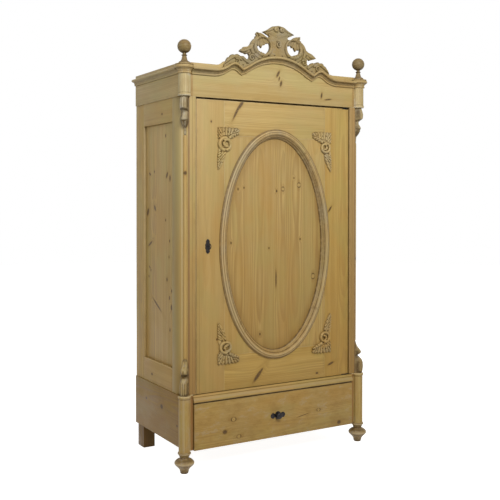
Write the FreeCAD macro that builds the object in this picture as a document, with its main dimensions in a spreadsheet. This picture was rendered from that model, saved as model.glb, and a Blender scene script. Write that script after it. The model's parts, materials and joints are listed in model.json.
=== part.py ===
"""One-door pine bonnetiere cabinet with a pierced crest, ball finials and a drawer in its base.

The cabinet stands on z = 0, faces -Y, and its origin is the centre of its footprint.
All lengths are in millimetres. Every sub-part is an object of the document, bound to the sheet.
"""
import FreeCAD, Part
import math
import os
import types
import Sketcher
from FreeCAD import Placement, Rotation, Vector

os.makedirs("parts", exist_ok=True)
doc = FreeCAD.newDocument("Bonnetiere")

# ---------------------------------------------------------------------------------------------
# Driving dimensions
# ---------------------------------------------------------------------------------------------
DIMENSIONS = {
    # whole cabinet
    "column_span": 1000,        # between the axes of the two front corner columns
    "total_depth": 566,         # front of the capitals to the back of the cabinet
    "side_overhang": 18,        # side panels stand this far outside the column axes
    "unit_step": 4,             # base and cornice boards stand proud of the carcass by this
    "front_setout": 4,          # front boards stand this far in front of the column axes
    "board": 25,                # thickness of side boards, frames and rails
    "back_board": 20,           # thickness of the base back board and the cornice back rail
    # heights, from the floor upwards
    "foot_height": 99,
    "base_skirt": 18,           # side boards of the base start this far above the front feet
    "base_top_height": 356,     # top of the base unit, where the carcass sits
    "carcass_top_height": 1730,  # top of the carcass, where the cornice sits
    "cornice_line": 1832,       # underside of the cornice moulding at its straight ends
    # corner columns of the base and the frieze
    "base_column_radius": 26.5,
    "frieze_column_radius": 27.5,
    "ring_radius": 30,
    "ring_height": 13,
    "ring_rounding": 2,         # the ring's edge swells by this
    "base_block_reach": 42,     # block behind a base column, from the column's axis inwards
    "base_block_depth": 40,
    "column_flat": 14,          # side boards stop this far behind the column axes
    # front feet
    "foot_bun_radius": 46,
    "foot_ring_radius": 30.5,
    "foot_neck_radius": 19.5,
    "foot_toe_radius": 18.5,
    "foot_waist_radius": 21.5,  # where the toe meets the bun
    "foot_ring_rounding": 8,    # lower edge of the ring
    "foot_bun_edge_radius": 35,  # where the bun's flanks meet its rounded middle
    "foot_bun_taper": 14,       # height of its lower flank
    "foot_bun_flank": 5,        # height of its upper flank
    "foot_toe_rise": 18,
    "foot_bun_top": 65,
    "foot_neck_top": 75,
    # rear feet
    "rear_foot_width": 60,
    "rear_foot_depth": 71,
    "rear_foot_inset": 14,
    # drawer
    "drawer_bottom_height": 97,
    "drawer_top_height": 313,
    "drawer_front_thickness": 22,
    "drawer_front_proud": 10,
    "drawer_side_gap": 2.5,     # beside the drawer front
    "drawer_wall": 12,
    "drawer_box_inset": 3.5,    # drawer sides stand this far in from the ends of the front
    "drawer_back_gap": 51,      # between the drawer's back and the back board of the base
    "drawer_box_drop": 15,      # drawer sides end this far below the top of the front
    "drawer_panel": 8,
    "drawer_panel_rise": 10,    # bottom panel above the lower edges of the sides
    "slide_clearance": 0.4,
    "runner_thickness": 20,
    "runner_width": 61,
    "guide_height": 28,
    # drawer knob
    "knob_plate_width": 83,
    "knob_plate_height": 40,
    "knob_plate_thickness": 3,
    "knob_height": 203,
    "knob_radius": 16,
    "knob_neck_radius": 8,
    "knob_neck_length": 8,
    "knob_length": 21,
    # ledge over the drawer and floor of the cupboard
    "ledge_bottom_height": 318,
    "ledge_height": 34,
    "ledge_projection": 12,
    "ledge_nose": 9,
    "ledge_nose_projection": 4,
    "ledge_slope": 13,
    "floor_board": 20,
    # carcass
    "strip_width": 34.5,        # front face of a corner post, beside the door
    "cant": 28,                 # both legs of the canted corner
    "bevel_width": 12.5,
    "bevel_depth": 21,
    "corner_front_thickness": 30,
    "front_stile_width": 94,
    "back_stile_width": 100,
    "side_rail_width": 111,
    "side_panel_recess": 12,
    "side_panel_thickness": 10,
    "groove_depth": 8,
    "back_panel_thickness": 15,
    "back_panel_inset": 5,
    "roof_gap": 3,              # between the roof board and the door
    "roof_board": 20,
    # bead on the canted corner
    "bead_radius": 8.5,
    "bead_sink": 4.5,
    "bead_bottom_height": 520,
    "bead_top_height": 1552,
    # carved consoles at both ends of the beads
    "console_width": 38,
    "upper_console_depth": 40,
    "lower_console_depth": 42,
    # shelves
    "shelf_thickness": 20,
    "shelf_setback": 35,        # shelf fronts stand this far behind the door
    "lower_shelf_height": 700,
    "middle_shelf_height": 1040,
    "upper_shelf_height": 1380,
    "batten_width": 22,
    "batten_height": 30,
    # door
    "door_gap_side": 5,
    "door_gap_bottom": 3,
    "door_gap_top": 8,
    "door_recess": 6,           # door front stands this far behind the corner strips
    "door_thickness": 26,
    "door_stile_width": 148,
    "door_rail_width": 165,
    "door_panel_thickness": 12,
    "door_panel_lap": 12,
    # oval moulding on the door
    "oval_half_width": 317,
    "oval_half_height": 560,
    "oval_height": 1038,        # height of its centre above the floor
    "oval_moulding_width": 45,
    "oval_moulding_proud": 14,
    "oval_seat": 31,            # part of the moulding that lies on the face of the door
    # carved spandrels round the oval
    "spandrel_width": 121,
    "spandrel_length": 203,
    "spandrel_inset": 110,      # outer edge of a carving, from the edge of the door
    "spandrel_rise": 559.5,     # ends of the carvings, above and below the middle of the oval
    "spandrel_thickness": 12,
    "corner_board_end": 150,    # corner boards stop this far from the middle of the oval
    # door pivots
    "pivot_edge": 10,           # axis behind the hinge edge
    "pivot_setback": 10,        # axis behind the door's front
    "pivot_radius": 5,
    "pivot_clearance": 0.05,
    "pivot_reach": 12,          # pin inside its bore
    "pivot_end_play": 0.5,
    "pivot_plate_length": 40,
    "pivot_plate_width": 20,
    "pivot_plate_thickness": 3,
    # lock
    "lock_key_inset": 60,       # key axis, from the free edge of the door
    "lock_case_length": 84,
    "lock_case_height": 110,
    "lock_case_depth": 16,
    "lock_wall": 2,
    "lock_edge": 2,             # lock case, from the free edge of the door
    "bolt_length": 52,
    "bolt_height": 22,
    "bolt_thickness": 8,
    "lock_clearance": 0.3,
    "keyhole_radius": 3.6,
    "key_radius": 3.2,
    "key_reach": 34,            # key in front of the door
    "key_bow_radius": 12,
    "key_bow_wire": 3,
    "key_bit_length": 10,
    "key_bit_thickness": 3,
    "escutcheon_width": 28,
    "escutcheon_height": 70,
    "escutcheon_thickness": 2.5,
    "strike_thickness": 2,
    "strike_width": 18,
    "strike_length": 60,
    # frieze and cornice
    "frieze_thickness": 24,
    "frieze_top_height": 1886,
    "side_frieze_top_height": 1882,
    "frieze_shoulder": 20,      # rise of the frieze board where it meets the crest
    "frieze_backing": 4,        # frieze board above the moulding, behind the crest
    "moulding_height": 32,
    "moulding_projection": 28,
    "side_moulding_projection": 22,
    "pediment_half_width": 350,  # the moulding is straight beyond this
    "pediment_rise": 85,
    "frieze_shoulder_x": 292,   # where the frieze board comes out from behind the crest
    "frieze_flat_x": 335,       # the top of the frieze board is level beyond this
    "capital_radius": 47,
    "capital_height": 43,
    "capital_nose_height": 16,
    "capital_nose_rounding": 4,
    "capital_neck_radius": 38,
    "capital_fillet": 3,        # flat above the nose
    "dust_board": 16,
    "dust_board_drop": 10,      # below the cornice line
    # finials
    "ball_radius": 32,
    "finial_neck_radius": 9.5,
    "finial_base_radius": 27,
    "finial_base_height": 11,
    "finial_cone_height": 27,
    "finial_ball_rise": 81,     # middle of the ball above the capital
    "finial_rounding": 3,
    # crest
    "crest_thickness": 22,
    "crest_half_width": 306,
    "crest_rise": 268,          # above the cornice line
    "crest_hole_radius": 38,
    "crest_hole_offset": 87,
    "crest_hole_rise": 161,     # hole centres above the cornice line
    "crest_boss_radius": 14,
    "crest_boss_offset": 16,
    "crest_boss_rise": 246,
    "crest_boss_depth": 5,
}

# Outlines drawn as shares of a width and a rise: (across, up, bulge of the arc to the next point).
# A bulge is the arc's height over half its chord, positive to the left; 0 is a straight line.
PEDIMENT = [
    (0, 1, -0.145),
    (0.443, 0.459, 0.048),
    (0.58, 0.165, 0),
    (0.654, 0.376, -0.3),
    (0.749, 0.4, 0),
    (0.814, 0.235, 0.123),
    (1, 0, 0),
]
CREST = [
    (0, 1, -0.13),
    (0.222, 0.873, 0),
    (0.297, 0.858, 0.12),
    (0.163, 0.791, 0.6),
    (0.196, 0.75, 0.1),
    (0.408, 0.821, 0.12),
    (0.516, 0.683, -0.08),
    (0.647, 0.545, -0.15),
    (0.699, 0.448, -0.12),
    (0.582, 0.332, 0.35),
    (0.644, 0.328, 0.15),
    (0.693, 0.388, 0.2),
    (0.801, 0.392, -0.2),
    (0.915, 0.347, 0),
    (0.98, 0.272, -0.25),
    (1, 0.216, 0),
]
SPANDREL = [
    (0, 0, 0),
    (0.81, 0, -0.2),
    (1, 0.059, 0),
    (0.926, 0.128, 0.1),
    (0.595, 0.256, -0.3),
    (0.512, 0.532, 0.15),
    (0.364, 0.591, 0.08),
    (0.314, 0.739, 0),
    (0.198, 0.906, 0),
    (0.099, 1, 0),
    (0, 1, 0),
]
# Side views of the carved consoles: (distance out from the cant, distance from the end, bulge).
UPPER_CONSOLE = [
    (0, 0, 0),
    (0.7, 0.01, -0.15),
    (1, 0.185, -0.25),
    (0.9, 0.348, 0.1),
    (0.4, 0.41, 0.3),
    (0.3, 0.466, 0),
    (0.7, 0.573, -0.2),
    (0.1, 0.843, 0),
    (0.05, 1, 0),
    (0, 1, 0),
]
LOWER_CONSOLE = [
    (0, 0, 0),
    (0.88, 0, 0.15),
    (1, 0.159, 0.15),
    (0.88, 0.311, 0),
    (0.476, 0.396, -0.3),
    (0.4, 0.482, 0),
    (0.738, 0.585, 0.15),
    (0.1, 0.902, 0),
    (0.05, 1, 0),
    (0, 1, 0),
]
# Steps of the front moulding: (share of its height where a step starts, share of its projection).
MOULDING_STEPS = [(0, 0.3), (0.28, 0.66), (0.56, 1)]
# Profile of the side moulding: (share of the projection, share of the height, bulge).
SIDE_MOULDING = [
    (0, 0, 0),
    (0.3, 0, 0),
    (0.3, 0.22, 0.3),
    (0.75, 0.56, 0),
    (0.88, 0.56, 0.35),
    (0.88, 0.95, 0),
    (0.8, 1, 0),
    (0, 1, 0),
]
# Profile of the oval moulding on the door's face: (share of its width, height, bulge).
OVAL_MOULDING = [
    (0, 0, 0),
    (0.07, 0.6, -0.45),
    (0.45, 1, -0.3),
    (0.6, 0.4, 0.3),
]
QUARTER = math.tan(math.pi / 8)   # bulge of a quarter circle
DIAGONAL = math.sqrt(0.5)
FULL_TURN = 360
BACK_BOARD_COUNT = 4
UPRIGHT_OVAL = Rotation(Vector(1, 1, 1), -120)   # X goes to Z, Y to X and Z to Y
TOWARDS_FRONT = Rotation(Vector(1, 0, 0), 90)    # Z goes to -Y
TOWARDS_BACK = Rotation(Vector(1, 0, 0), -90)    # Z goes to Y
SIDEWAYS = Rotation(Vector(0, 1, 0), 90)         # Z goes to X
SECTION_PLANE = Rotation(Vector(1, 1, 1), 120)   # X goes to Y, Y to Z and Z to X
LEFT_CANT = Rotation(Vector(0, 0, 1), 225)       # X goes out of the left canted corner

SHEET = "Sizes"
sheet = doc.addObject("Spreadsheet::Sheet", SHEET)
for row, (alias, value) in enumerate(DIMENSIONS.items(), start=1):
    sheet.set(f"A{row}", alias)
    sheet.set(f"B{row}", str(value))
    sheet.setAlias(f"B{row}", alias)
doc.recompute()


# ---------------------------------------------------------------------------------------------
# Sizes that keep their sheet expression
# ---------------------------------------------------------------------------------------------
class Size:
    """A length with its number and the expression over the sheet that gives it."""

    def __init__(self, number, text):
        self.number = number
        self.text = text

    def __add__(self, other):
        other = as_size(other)
        return Size(self.number + other.number, f"({self.text} + {other.text})")

    def __sub__(self, other):
        other = as_size(other)
        return Size(self.number - other.number, f"({self.text} - {other.text})")

    def __mul__(self, other):
        other = as_size(other)
        return Size(self.number * other.number, f"({self.text} * {other.text})")

    def __truediv__(self, other):
        other = as_size(other)
        return Size(self.number / other.number, f"({self.text} / {other.text})")

    def __neg__(self):
        return Size(-self.number, f"(0 - {self.text})")

    def __radd__(self, other):
        return as_size(other) + self

    def __rsub__(self, other):
        return as_size(other) - self

    def __rmul__(self, other):
        return as_size(other) * self


def as_size(value):
    """A plain number as a Size; a Size stays as it is."""
    if isinstance(value, Size):
        return value
    return Size(float(value), f"({float(value)})")


def root(size):
    """Square root of a Size."""
    return Size(math.sqrt(size.number), f"sqrt({size.text})")


def absolute(size):
    """A Size without its sign."""
    return Size(abs(size.number), f"abs({size.text})")


def bulge_of(radius, run, rise):
    """Bulge of the arc with a radius between two points that are a run and a rise apart."""
    half_chord = root(run * run + rise * rise) / 2
    return (radius - root(radius * radius - half_chord * half_chord)) / half_chord


d = types.SimpleNamespace(**{
    alias: Size(float(getattr(sheet, alias)), f"{SHEET}.{alias}") for alias in DIMENSIONS
})

# ---------------------------------------------------------------------------------------------
# Planes and levels that several pieces share (the left side is at negative x)
# ---------------------------------------------------------------------------------------------
column_x = d.column_span / 2
column_y = d.capital_radius - d.total_depth / 2
back_y = d.total_depth / 2
front_y = column_y - d.front_setout
carcass_x = column_x + d.side_overhang
carcass_inner_x = carcass_x - d.board
unit_x = carcass_x + d.unit_step
unit_inner_x = unit_x - d.board
unit_side_y = column_y + d.column_flat
unit_back_y = back_y - d.back_board
side_board_bottom = d.foot_height + d.base_skirt
base_block_x = column_x - d.base_block_reach
base_block_y = front_y + d.base_block_depth
frieze_x = column_x - d.ring_radius
frieze_back_y = front_y + d.frieze_thickness
cant_back_x = carcass_x - d.bevel_width
strip_outer_x = cant_back_x - d.cant
strip_inner_x = strip_outer_x - d.strip_width
strip_back_y = front_y + d.corner_front_thickness
cant_back_y = front_y + d.cant
cant_middle_x = (strip_outer_x + cant_back_x) / 2
cant_middle_y = (front_y + cant_back_y) / 2
stile_back_y = front_y + d.front_stile_width
back_stile_y = back_y - d.back_stile_width
side_opening_bottom = d.base_top_height + d.side_rail_width
side_opening_top = d.carcass_top_height - d.side_rail_width
back_panel_y = back_y - d.back_panel_inset - d.back_panel_thickness
ledge_top = d.ledge_bottom_height + d.ledge_height
door_x = strip_inner_x - d.door_gap_side
door_front_y = front_y + d.door_recess
door_back_y = door_front_y + d.door_thickness
door_bottom = ledge_top + d.door_gap_bottom
door_top = d.carcass_top_height - d.door_gap_top
door_stile_x = door_x - d.door_stile_width
rail_bottom_edge = door_bottom + d.door_rail_width
rail_top_edge = door_top - d.door_rail_width
door_panel_y = door_front_y + d.door_panel_thickness
pivot_x = door_x - d.pivot_edge
pivot_y = door_front_y + d.pivot_setback
key_x = door_x - d.lock_key_inset
lock_height = d.oval_height

PIECES = []


# ---------------------------------------------------------------------------------------------
# Building blocks
# ---------------------------------------------------------------------------------------------
def piece(name, item):
    """Register an object as a sub-part of its own."""
    item.Label = name
    PIECES.append(item)
    return item


def bind(item, **sizes):
    """Bind properties of an object to the sheet."""
    for name, size in sizes.items():
        item.setExpression(name, as_size(size).text)
    return item


def put(item, x=0, y=0, z=0, rotation=None):
    """Place an object by three sizes and a fixed rotation."""
    if rotation is not None:
        item.Placement = Placement(Vector(), rotation)
    for axis, size in zip("xyz", (x, y, z)):
        item.setExpression(f"Placement.Base.{axis}", as_size(size).text)
    return item


def box(x, y, z):
    """A board between the low and the high size on each axis."""
    item = doc.addObject("Part::Box", "Board")
    bind(item, Length=x[1] - x[0], Width=y[1] - y[0], Height=z[1] - z[0])
    return put(item, x[0], y[0], z[0])


def rod(radius, height, x, y, z, rotation=None):
    """A cylinder, upright unless it is turned."""
    item = doc.addObject("Part::Cylinder", "Rod")
    bind(item, Radius=radius, Height=height)
    return put(item, x, y, z, rotation)


def cut(base, *tools):
    """The base less each tool in turn."""
    for tool in tools:
        item = doc.addObject("Part::Cut", "Cut")
        item.Base = base
        item.Tool = tool
        base = item
    return base


def fuse(*items):
    """Several solids worked as one."""
    item = doc.addObject("Part::MultiFuse", "Fuse")
    item.Shapes = list(items)
    item.Refine = True
    return item


def group(*items):
    """Separate solids kept together."""
    item = doc.addObject("Part::Compound", "Group")
    item.Links = list(items)
    return item


def mirrored(item, normal=Vector(1, 0, 0)):
    """The right-hand copy of a left-hand object."""
    copy = doc.addObject("Part::Mirroring", "Mirrored")
    copy.Source = item
    copy.Normal = normal
    return copy


def both_sides(stem, left):
    """A left sub-part and its right-hand twin, each of its own."""
    piece(f"{stem}_left", left)
    piece(f"{stem}_right", mirrored(left))


def pair(name, left):
    """A left and a right solid in one sub-part."""
    return piece(name, group(left, mirrored(left)))


def span(half):
    """Low and high size of a board that is centred on the middle plane."""
    return (-half, half)


def mirror_chain(chain):
    """A chain of points reflected to the left and walked the other way, arcs included."""
    bulges = [bulge for _, _, bulge in chain[:-1]][::-1] + [0]
    return [(-x, y, bulge) for (x, y, _), bulge in zip(chain[::-1], bulges)]


def across(half):
    """A whole chain from left to right, out of the half from the middle to the right."""
    return mirror_chain(half)[:-1] + half


def scaled(shares, width, height):
    """An outline of shares, drawn at a width and a height."""
    return [(width * x, height * y, bulge) for x, y, bulge in shares]


def raised(chain, rise):
    """The same chain, moved up."""
    return [(x, y + rise, bulge) for x, y, bulge in chain]


def backwards(chain):
    """The same chain, walked the other way."""
    bulges = [-bulge for _, _, bulge in chain[:-1]][::-1] + [0]
    return [(x, y, bulge) for (x, y, _), bulge in zip(chain[::-1], bulges)]


def arc_edge(start, end, bulge):
    """Arc between two points, as a curve that runs counterclockwise."""
    half_chord = math.dist(start, end) / 2
    size = half_chord * (1 + bulge * bulge) / (2 * abs(bulge))
    lift = (1 - bulge * bulge) / (4 * bulge)
    centre_x = (start[0] + end[0]) / 2 - (end[1] - start[1]) * lift
    centre_y = (start[1] + end[1]) / 2 + (end[0] - start[0]) * lift
    angles = [math.atan2(y - centre_y, x - centre_x) for x, y in (start, end)]
    if bulge < 0:
        angles.reverse()
    circle = Part.Circle(Vector(centre_x, centre_y, 0), Vector(0, 0, 1), size)
    return Part.ArcOfCircle(circle, *angles)


def draw(sketch, chain):
    """Draw a closed outline of (x, y, bulge), with every point and radius bound to the sheet."""
    chain = [tuple(as_size(value) for value in point) for point in chain]
    following = chain[1:] + chain[:1]
    first, last = 1, 2
    edges = []
    for (x, y, bulge), (next_x, next_y, _) in zip(chain, following):
        start = (x.number, y.number)
        end = (next_x.number, next_y.number)
        if bulge.number == 0:
            line = Part.LineSegment(Vector(*start, 0), Vector(*end, 0))
            edges.append((sketch.addGeometry(line, False), first, last))
            continue
        edge = sketch.addGeometry(arc_edge(start, end, bulge.number), False)
        edges.append((edge, first, last) if bulge.number > 0 else (edge, last, first))
    for (edge, _, far_end), (next_edge, near_end, _) in zip(edges, edges[1:] + edges[:1]):
        sketch.addConstraint(Sketcher.Constraint("Coincident", edge, far_end, next_edge, near_end))
    for (edge, near_end, _), point, next_point in zip(edges, chain, following):
        x, y, bulge = point
        for kind, size in (("DistanceX", x), ("DistanceY", y)):
            rule = sketch.addConstraint(Sketcher.Constraint(kind, -1, 1, edge, near_end, size.number))
            sketch.setExpression(f"Constraints[{rule}]", size.text)
        if bulge.number:
            run = next_point[0] - x
            rise = next_point[1] - y
            chord = root(run * run + rise * rise)
            radius = absolute(chord * (1 + bulge * bulge) / (bulge * 4))
            rule = sketch.addConstraint(Sketcher.Constraint("Radius", edge, radius.number))
            sketch.setExpression(f"Constraints[{rule}]", radius.text)


def sketch_in(body, plane, chain):
    """A sketch of a closed outline on one of the body's own origin planes."""
    sketch = body.newObject("Sketcher::SketchObject", "Outline")
    support = [item for item in body.Origin.OriginFeatures if item.Role == plane][0]
    sketch.AttachmentSupport = [(support, "")]
    sketch.MapMode = "FlatFace"
    draw(sketch, chain)
    return sketch


def turned(chain):
    """A turned body: the outline gives radius and height, and is turned about Z."""
    body = doc.addObject("PartDesign::Body", "Turned")
    sketch = sketch_in(body, "XZ_Plane", chain)
    feature = body.newObject("PartDesign::Revolution", "Turning")
    feature.Profile = sketch
    feature.ReferenceAxis = (sketch, ["V_Axis"])
    feature.Angle = FULL_TURN
    return body


def sawn(plane, chain, depth):
    """A body sawn to an outline: up from XY_Plane, forwards from XZ_Plane, right from YZ_Plane."""
    body = doc.addObject("PartDesign::Body", "Sawn")
    sketch = sketch_in(body, plane, chain)
    feature = body.newObject("PartDesign::Pad", "Pad")
    feature.Profile = sketch
    bind(feature, Length=depth)
    return body


def upright_ellipse(half_width, half_height, y, z):
    """An elliptical curve that stands in a plane across the cabinet."""
    curve = doc.addObject("Part::Ellipse", "Ellipse")
    bind(curve, MajorRadius=half_height, MinorRadius=half_width)
    return put(curve, 0, y, z, UPRIGHT_OVAL)


def oval_block(half_width, half_height, x, y, z, depth):
    """A solid with an upright elliptical outline, from y towards the back."""
    block = doc.addObject("Part::Extrusion", "OvalBlock")
    block.Base = upright_ellipse(half_width, half_height, y, z)
    block.DirMode = "Custom"
    block.Dir = Vector(0, 1, 0)
    block.Solid = True
    bind(block, LengthFwd=depth)
    block.setExpression("Placement.Base.x", as_size(x).text)
    return block


# ---------------------------------------------------------------------------------------------
# Base unit
# ---------------------------------------------------------------------------------------------
def column(radius, height, ring_at_top):
    """A turned column with its ring bead at one end, standing on z = 0."""
    edge = d.ring_radius - d.ring_rounding
    bulge = d.ring_rounding * 2 / d.ring_height
    if ring_at_top:
        start = height - d.ring_height
        shaft = [(radius, 0, 0), (radius, start, 0), (edge, start, bulge), (edge, height, 0)]
    else:
        top = d.ring_height
        shaft = [(edge, 0, bulge), (edge, top, 0), (radius, top, 0), (radius, height, 0)]
    return turned([(0, 0, 0)] + shaft + [(0, height, 0)])


def corner_post_of(radius, inner_x, z, ring_at_top):
    """A corner column in one piece with the square block behind it, notched for the side board."""
    shaft = put(column(radius, z[1] - z[0], ring_at_top), -column_x, column_y, z[0])
    block = box((-unit_inner_x, -inner_x), (front_y, base_block_y), z)
    outside = unit_x + d.ring_radius
    notch = box((-outside, -unit_inner_x), (unit_side_y, unit_side_y + d.ring_radius), z)
    return cut(fuse(shaft, block), notch)


def front_foot():
    """Turned foot: a tapered toe, a bun, a neck and a ring under the column."""
    waist = d.foot_waist_radius
    neck = d.foot_neck_radius
    ring = d.foot_ring_radius
    rounding = d.foot_ring_rounding
    edge = d.foot_bun_edge_radius
    edge_low = d.foot_toe_rise + d.foot_bun_taper
    edge_high = d.foot_bun_top - d.foot_bun_flank
    bun_bulge = (d.foot_bun_radius - edge) * 2 / (edge_high - edge_low)
    outline = [
        (0, 0, 0),
        (d.foot_toe_radius, 0, 0),
        (waist, d.foot_toe_rise, 0),
        (edge, edge_low, bun_bulge),
        (edge, edge_high, 0),
        (neck, d.foot_bun_top, 0),
        (neck, d.foot_neck_top, 0),
        (ring - rounding, d.foot_neck_top, QUARTER),
        (ring, d.foot_neck_top + rounding, 0),
        (ring, d.foot_height, 0),
        (0, d.foot_height, 0),
    ]
    return put(turned(outline), -column_x, column_y)


def rear_foot():
    outer_x = -unit_x + d.rear_foot_inset
    x = (outer_x, outer_x + d.rear_foot_width)
    return box(x, (back_y - d.rear_foot_depth, back_y), (as_size(0), side_board_bottom))


drawer_front_y = front_y - d.drawer_front_proud
drawer_box_y = drawer_front_y + d.drawer_front_thickness
drawer_x = base_block_x - d.drawer_side_gap
drawer_box_x = drawer_x - d.drawer_box_inset
drawer_inner_x = drawer_box_x - d.drawer_wall
drawer_box_bottom = side_board_bottom + d.runner_thickness + d.slide_clearance
drawer_box_top = d.drawer_top_height - d.drawer_box_drop
drawer_back_y = unit_back_y - d.drawer_back_gap
drawer_panel_bottom = drawer_box_bottom + d.drawer_panel_rise
drawer_panel_top = drawer_panel_bottom + d.drawer_panel


def drawer_runner():
    """An L-shaped strip: the drawer side slides on its foot, beside its guide."""
    y = (base_block_y, unit_back_y)
    top = side_board_bottom + d.runner_thickness
    foot = box((-unit_inner_x, -unit_inner_x + d.runner_width), y, (side_board_bottom, top))
    guide_x = (-unit_inner_x, -drawer_box_x - d.slide_clearance)
    guide = box(guide_x, y, (top, top + d.guide_height))
    return fuse(foot, guide)


def ledge_moulding():
    """The sloping ledge over the drawer, with a bore for the lower door pivot."""
    nose_bottom = d.ledge_height - d.ledge_nose
    outline = [
        (0, 0, 0),
        (0, d.ledge_height, 0),
        (-d.base_block_depth, d.ledge_height, 0.2),
        (-d.base_block_depth - d.ledge_nose_projection, nose_bottom, 0),
        (-d.base_block_depth - d.ledge_projection, nose_bottom - d.ledge_slope, 0),
        (-d.base_block_depth - d.ledge_projection, 0, 0),
    ]
    bar = put(sawn("YZ_Plane", outline, base_block_x * 2), -base_block_x, base_block_y, d.ledge_bottom_height)
    depth = d.pivot_reach + d.pivot_end_play
    return cut(bar, rod(d.pivot_radius + d.pivot_clearance, depth, pivot_x, pivot_y, ledge_top - depth))


base_z = (side_board_bottom, d.base_top_height)
post_z = (d.foot_height, d.base_top_height)
floor_z = (d.base_top_height - d.floor_board, d.base_top_height)
both_sides("base_side", box((-unit_x, -unit_inner_x), (unit_side_y, back_y), base_z))
piece("base_back", box(span(unit_inner_x), (unit_back_y, back_y), base_z))
both_sides("base_post", corner_post_of(d.base_column_radius, base_block_x, post_z, True))
both_sides("front_foot", front_foot())
pair("rear_feet", rear_foot())
both_sides("drawer_runner", drawer_runner())
piece("ledge_moulding", ledge_moulding())
piece("cupboard_floor", box(span(unit_inner_x), (base_block_y, unit_back_y), floor_z))


# ---------------------------------------------------------------------------------------------
# Drawer
# ---------------------------------------------------------------------------------------------
def knob_plate():
    """A pointed oval plate behind the knob."""
    half = d.knob_plate_width / 2
    bulge = d.knob_plate_height / d.knob_plate_width
    plate = sawn("XZ_Plane", [(-half, 0, bulge), (half, 0, bulge)], d.knob_plate_thickness)
    return put(plate, 0, drawer_front_y, d.knob_height)


def drawer_knob():
    """A turned knob: a neck and a mushroom head with a spherical face."""
    edge = (d.knob_neck_length + d.knob_length) / 2
    face = d.knob_length - edge
    face_radius = (d.knob_radius * d.knob_radius + face * face) / (face * 2)
    outline = [
        (0, 0, 0),
        (d.knob_neck_radius, 0, 0),
        (d.knob_neck_radius, d.knob_neck_length, 0),
        (d.knob_radius, edge, bulge_of(face_radius, d.knob_radius, face)),
        (0, d.knob_length, 0),
    ]
    y = drawer_front_y - d.knob_plate_thickness
    return put(turned(outline), 0, y, d.knob_height, TOWARDS_FRONT)


wall_z = (drawer_box_bottom, drawer_box_top)
back_z = (drawer_panel_top, drawer_box_top)
panel_z = (drawer_panel_bottom, drawer_panel_top)
front_z = (d.drawer_bottom_height, d.drawer_top_height)
box_y = (drawer_box_y, drawer_back_y)
piece("drawer_front", box(span(drawer_x), (drawer_front_y, drawer_box_y), front_z))
both_sides("drawer_side", box((-drawer_box_x, -drawer_inner_x), box_y, wall_z))
piece("drawer_back", box(span(drawer_inner_x), (drawer_back_y - d.drawer_wall, drawer_back_y), back_z))
piece("drawer_bottom", box(span(drawer_inner_x), box_y, panel_z))
piece("drawer_knob_plate", knob_plate())
piece("drawer_knob", drawer_knob())

# ---------------------------------------------------------------------------------------------
# Carcass
# ---------------------------------------------------------------------------------------------
carcass_z = (d.base_top_height, d.carcass_top_height)
frame_x = (-carcass_x, -carcass_inner_x)
side_panel_x = -carcass_x + d.side_panel_recess


def side_panel():
    """Recessed side panel with its edges in the grooves of the frame round it."""
    return box(
        (side_panel_x, side_panel_x + d.side_panel_thickness),
        (stile_back_y - d.groove_depth, back_stile_y + d.groove_depth),
        (side_opening_bottom - d.groove_depth, side_opening_top + d.groove_depth),
    )


def corner_post():
    """Front post: side stile, canted corner and the strip beside the door, in one piece."""
    outline = [
        (-strip_inner_x, front_y, 0),
        (-strip_inner_x, strip_back_y, 0),
        (-carcass_inner_x, strip_back_y, 0),
        (-carcass_inner_x, stile_back_y, 0),
        (-carcass_x, stile_back_y, 0),
        (-carcass_x, cant_back_y + d.bevel_depth, 0),
        (-cant_back_x, cant_back_y, 0),
        (-strip_outer_x, front_y, 0),
    ]
    post = sawn("XY_Plane", outline, carcass_z[1] - carcass_z[0])
    return cut(put(post, z=carcass_z[0]), side_panel())


def corner_bead():
    """Half-round bead that runs up the canted corner between the two consoles."""
    half_chord = root(d.bead_radius * d.bead_radius - d.bead_sink * d.bead_sink)
    bulge = (d.bead_radius - d.bead_sink) / half_chord
    outline = [(0, -half_chord, bulge), (0, half_chord, 0)]
    bead = sawn("XY_Plane", outline, d.bead_top_height - d.bead_bottom_height)
    return put(bead, -cant_middle_x, cant_middle_y, d.bead_bottom_height, LEFT_CANT)


def console(shares, depth, start, end):
    """A carved console on the canted corner, from the end of the carcass to the bead."""
    outline = scaled(shares, depth, end - start)
    solid = sawn("XZ_Plane", outline, d.console_width)
    shift = d.console_width * (DIAGONAL / 2)
    return put(solid, -cant_middle_x + shift, cant_middle_y - shift, start, LEFT_CANT)


def back_boards():
    """Upright boards that close the back between the two back stiles."""
    width = carcass_inner_x * 2 / BACK_BOARD_COUNT
    y = (back_panel_y, back_panel_y + d.back_panel_thickness)
    edges = [width * index - carcass_inner_x for index in range(BACK_BOARD_COUNT)]
    return group(*[box((edge, edge + width), y, carcass_z) for edge in edges])


def shelf(height):
    y = (door_back_y + d.shelf_setback, back_panel_y)
    return box(span(carcass_inner_x), y, (height, height + d.shelf_thickness))


def shelf_batten(height):
    x = (-carcass_inner_x, -carcass_inner_x + d.batten_width)
    return box(x, (stile_back_y, back_panel_y), (height - d.batten_height, height))


def lock_strike():
    """Iron plate behind the lock-side strip, which the bolt slides across."""
    x = (-strip_inner_x - d.strike_width, -strip_inner_x)
    z = (lock_height - d.strike_length / 2, lock_height + d.strike_length / 2)
    return box(x, (strip_back_y, strip_back_y + d.strike_thickness), z)


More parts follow.
